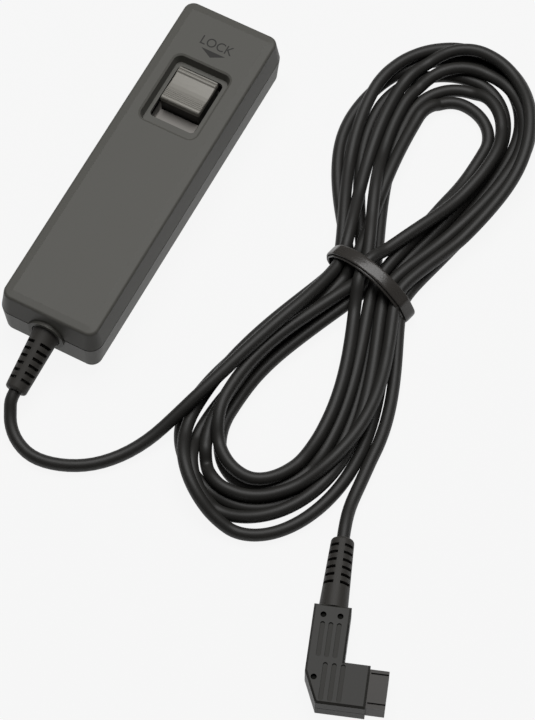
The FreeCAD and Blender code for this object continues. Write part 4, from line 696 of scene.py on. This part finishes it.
def add_tie(hank):
    """A flat vinyl strip wound about one and a half times round the waist.

    Its section is a flat rounded bar carried along a spiral that climbs one thickness a turn and
    drifts sideways, so that the edge of the lower layer shows beside the upper one."""
    outline, normals = bundle_outline(crossing_strands(hank), TIE_STEPS_PER_TURN)
    steps = np.arange(int(TIE_STEPS_PER_TURN * TIE_TURNS))
    turn = steps / TIE_STEPS_PER_TURN
    flat, outward = outline[steps % TIE_STEPS_PER_TURN], normals[steps % TIE_STEPS_PER_TURN]
    along = np.array([math.cos(TIE_SLOPE), math.sin(TIE_SLOPE), 0.0])
    sideways = np.array([-math.sin(TIE_SLOPE), math.cos(TIE_SLOPE), 0.0])
    up = np.array([0.0, 0.0, 1.0])
    centre = np.array([TIE_X, TIE_Y, 0.0]) + flat[:, :1] * along + flat[:, 1:] * up
    direction = outward[:, :1] * along + outward[:, 1:] * up
    climb = np.clip((turn - TIE_CLIMB_START) / (1.0 - TIE_CLIMB_START), 0.0, 1.0)
    lift = TIE_GAP + TIE_THICKNESS / 2 + (TIE_THICKNESS + TIE_GAP) * climb
    drift = TIE_SHIFT * np.clip(turn - TIE_DRIFT_START, 0.0, 1.0)
    ends = np.minimum(1.0, np.minimum(steps, steps[::-1]) / TIE_END_STEPS) ** 0.5
    angle = np.linspace(0, 2 * math.pi, TIE_SECTION_POINTS, endpoint=False)
    wide = signed_power(np.cos(angle), TIE_SQUARENESS) * TIE_WIDTH / 2
    thick = signed_power(np.sin(angle), TIE_CROWN) * TIE_THICKNESS / 2
    height = lift[:, None] + ends[:, None] * thick
    points = (centre[:, None] + direction[:, None] * height[..., None]
              + sideways * (drift[:, None] + wide)[..., None])
    faces = tube_faces(len(steps), TIE_SECTION_POINTS)
    strip = add_mesh("tie_strip", points.reshape(-1, 3), faces, tie_vinyl)
    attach(strip, "handset")
    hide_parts("cable_tie")


# Button cap

CAP_FAR_Y = 28.5
CAP_LENGTH = 10.1
CAP_WIDTH = 10.6
CAP_TOP = 16.6
CAP_UNDERSIDE = 15.0
CAP_LIP = 0.55
CAP_EDGE = 0.3
CAP_GROOVE_START = 6.9
CAP_GROOVE_DEPTH = 0.15
CAP_GROOVE_PITCH = 0.5
CAP_GROOVES = 5
CAP_STEPS = 300
CAP_LIP_STEPS = 60
CAP_EDGE_STEPS = 7
CAP_AVERAGED = 7
CAP_SHARP_ANGLE = math.radians(50.0)

# Distance from the cap's far edge and depth below its top: two ridges, the dish, the near rim.
CAP_SLOPE = [(0.0, 0.36), (0.12, 0.12), (0.32, 0.0), (0.58, 0.04), (0.8, 0.36), (1.02, 0.06),
             (1.25, 0.0), (1.5, 0.05), (1.75, 0.36), (2.4, 0.42), (3.6, 0.5), (5.0, 0.5),
             (6.2, 0.34), (6.8, 0.12), (7.4, 0.02), (9.55, 0.0)]


def cap_profile():
    """Closed side profile of the cap in Y and Z, from the far edge over the top and back below.

    The top follows CAP_SLOPE with its corners averaged out, then a quarter of a circle rounds the
    lip. Grooves are half waves cut inwards along the surface's own normal."""
    forward = np.linspace(0.0, CAP_LENGTH - CAP_LIP, CAP_STEPS)
    depth = np.interp(forward, *np.array(CAP_SLOPE).T)
    padded = np.pad(depth, CAP_AVERAGED // 2, mode="edge")
    depth = np.convolve(padded, np.full(CAP_AVERAGED, 1 / CAP_AVERAGED), mode="valid")
    turn = np.radians(np.linspace(0, 90, CAP_LIP_STEPS))[1:]
    y = CAP_FAR_Y - np.concatenate([forward, CAP_LENGTH - CAP_LIP + CAP_LIP * np.sin(turn)])
    z = CAP_TOP - np.concatenate([depth, CAP_LIP * (1 - np.cos(turn))])
    surface = np.stack([y, z], axis=1)
    step = np.gradient(surface, axis=0)
    normal = np.stack([step[:, 1], -step[:, 0]], axis=1)
    normal /= np.linalg.norm(normal, axis=1, keepdims=True)
    run = np.concatenate([[0.0], np.cumsum(np.linalg.norm(np.diff(surface, axis=0), axis=1))])
    along = (run - np.interp(CAP_GROOVE_START, forward, run[:len(forward)])) / CAP_GROOVE_PITCH
    cut = np.where((along > 0) & (along < CAP_GROOVES), np.sin(np.pi * along) ** 2, 0.0)
    surface -= normal * (cut * CAP_GROOVE_DEPTH)[:, None]
    underside = [(CAP_FAR_Y - CAP_LENGTH, CAP_UNDERSIDE), (CAP_FAR_Y, CAP_UNDERSIDE)]
    return np.concatenate([surface, underside])


def add_cap():
    """The cap's profile carried across its width, drawn in along a quarter circle at each end."""
    profile = cap_profile()
    middle = np.array([CAP_FAR_Y - CAP_LENGTH / 2, CAP_UNDERSIDE])
    turn = np.radians(np.linspace(0, 90, CAP_EDGE_STEPS))
    rounding = CAP_EDGE * (1 - np.cos(turn))
    inset = np.concatenate([rounding[::-1], rounding])
    reach = CAP_WIDTH / 2 - CAP_EDGE + CAP_EDGE * np.sin(turn)
    x = np.concatenate([-reach[::-1], reach])
    scale = 1.0 - inset[:, None] / np.array([CAP_LENGTH / 2, CAP_TOP - CAP_UNDERSIDE])
    section = middle + (profile - middle) * scale[:, None]
    side = np.broadcast_to(x[:, None, None], (*section.shape[:2], 1))
    points = np.concatenate([side, section], axis=2)
    faces = tube_faces(len(x), len(profile))
    cap = add_mesh("thumb_cap", points.reshape(-1, 3), faces, cap_finish)
    cap.data.set_sharp_from_angle(angle=CAP_SHARP_ANGLE)
    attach(cap, "button")
    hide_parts("button_cap")


# Return spring

SPRING_PLACE = (1.2, 23.45)
SPRING_LOW = 7.4
SPRING_HIGH = 13.8
SPRING_COIL_RADIUS = 1.975
SPRING_WIRE_RADIUS = 0.225
SPRING_TURNS = 5
SPRING_STEPS_PER_TURN = 24
SPRING_WIRE_POINTS = 12


def add_spring():
    """The button's spring at rest, wound from its lower seat up to its upper one.

    A circle of the wire's radius is carried along the helix (R cos t, R sin t, rise t), with one
    axis outwards and the other square to it and to the helix."""
    turn = np.linspace(0, 2 * math.pi * SPRING_TURNS, SPRING_STEPS_PER_TURN * SPRING_TURNS + 1)
    low, high = SPRING_LOW + SPRING_WIRE_RADIUS, SPRING_HIGH - SPRING_WIRE_RADIUS
    rise = (high - low) / turn[-1]
    outward = np.stack([np.cos(turn), np.sin(turn), np.zeros_like(turn)], axis=1)
    slope = np.full_like(turn, rise / SPRING_COIL_RADIUS)
    along = np.stack([-np.sin(turn), np.cos(turn), slope], axis=1)
    along /= np.linalg.norm(along, axis=1, keepdims=True)
    across = np.cross(along, outward)
    centre = outward * SPRING_COIL_RADIUS + np.array([*SPRING_PLACE, low])
    centre[:, 2] += rise * turn
    round_wire = np.linspace(0, 2 * math.pi, SPRING_WIRE_POINTS, endpoint=False)[:, None]
    points = centre[:, None] + SPRING_WIRE_RADIUS * (
        outward[:, None] * np.cos(round_wire) + across[:, None] * np.sin(round_wire))
    faces = tube_faces(*points.shape[:2])
    spring = add_mesh("coil_spring", points.reshape(-1, 3), faces, steel)
    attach(spring, "slider")
    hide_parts("return_spring")
    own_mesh(spring)


# Lettering

TOP = 16.5
LETTER_HEIGHT = 2.5
LETTER_WIDTH = 8.6
LETTER_Y = 36.5
MARK_WIDTH = 6.5
MARK_Y = 35.6
MARK_TIP_Y = 33.9
INK_DEPTH = 0.03
ANY_THICKNESS = 0.01


def add_lock_word():
    """The word that says which way the button locks, printed on the top face.

    Its letters, given any thickness, become a mesh that is then fitted to the word's size."""
    data = bpy.data.curves.new("lock_outline", "FONT")
    data.body = "LOCK"
    data.extrude = ANY_THICKNESS
    outline = bpy.data.objects.new("lock_outline", data)
    bpy.context.collection.objects.link(outline)
    bpy.context.view_layer.update()
    mesh = bpy.data.meshes.new_from_object(outline)
    bpy.data.objects.remove(outline)
    points = np.empty(len(mesh.vertices) * 3)
    mesh.vertices.foreach_get("co", points)
    points = points.reshape(-1, 3)
    low, high = points.min(axis=0), points.max(axis=0)
    unit = (points - low) / (high - low)
    size = np.array([LETTER_WIDTH, LETTER_HEIGHT, 2 * INK_DEPTH])
    place = np.array([-LETTER_WIDTH / 2, LETTER_Y, TOP - INK_DEPTH])
    mesh.vertices.foreach_set("co", ((unit * size + place) * MM).ravel())
    mesh.materials.clear()
    mesh.materials.append(letter_ink)
    word = bpy.data.objects.new("lock_word", mesh)
    bpy.context.collection.objects.link(word)
    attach(word, "handset")


def add_lock_mark():
    """A flat arrowhead that points along the button's slide."""
    half = MARK_WIDTH / 2
    corners = [(-half, MARK_Y), (0.0, MARK_TIP_Y), (half, MARK_Y)]
    points = [(x, y, z) for z in (TOP - INK_DEPTH, TOP + INK_DEPTH) for x, y in corners]
    faces = [(0, 2, 1), (3, 4, 5)]
    sides = [(0, 1, 4, 3), (1, 2, 5, 4), (2, 0, 3, 5)]
    mark = add_mesh("lock_mark", points, faces + sides, letter_ink, False)
    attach(mark, "handset")


add_camera()
dress_nodes()
hank = settled(hank_line())
cable = add_cable(hank)
add_jacket_ends()
add_tie(hank)
add_cap()
add_spring()
add_lock_word()
add_lock_mark()

floor_finish = Finish("floor_paper")
floor_finish.set(Base_Color=FLOOR_GREY, Roughness=0.9)
whiten_floor(floor_finish)
corners = [(-1, -1), (1, -1), (1, 1), (-1, 1)]
floor = add_mesh("floor", [(FLOOR_HALF * x, FLOOR_HALF * y, FLOOR_LEVEL) for x, y in corners],
                 [(0, 1, 2, 3)], floor_finish.material, False)

add_softbox("overhead", LAMP_PLACE, LAMP_AIM, *LAMP_SIZE, LAMP_POWER)

world = bpy.data.worlds.new("studio")
bpy.context.scene.world = world
world.use_nodes = True
world.node_tree.nodes["Background"].inputs["Color"].default_value = (1.0, 1.0, 1.0, 1.0)
world.node_tree.nodes["Background"].inputs["Strength"].default_value = WORLD_STRENGTH
bpy.context.scene.view_settings.view_transform = "Standard"
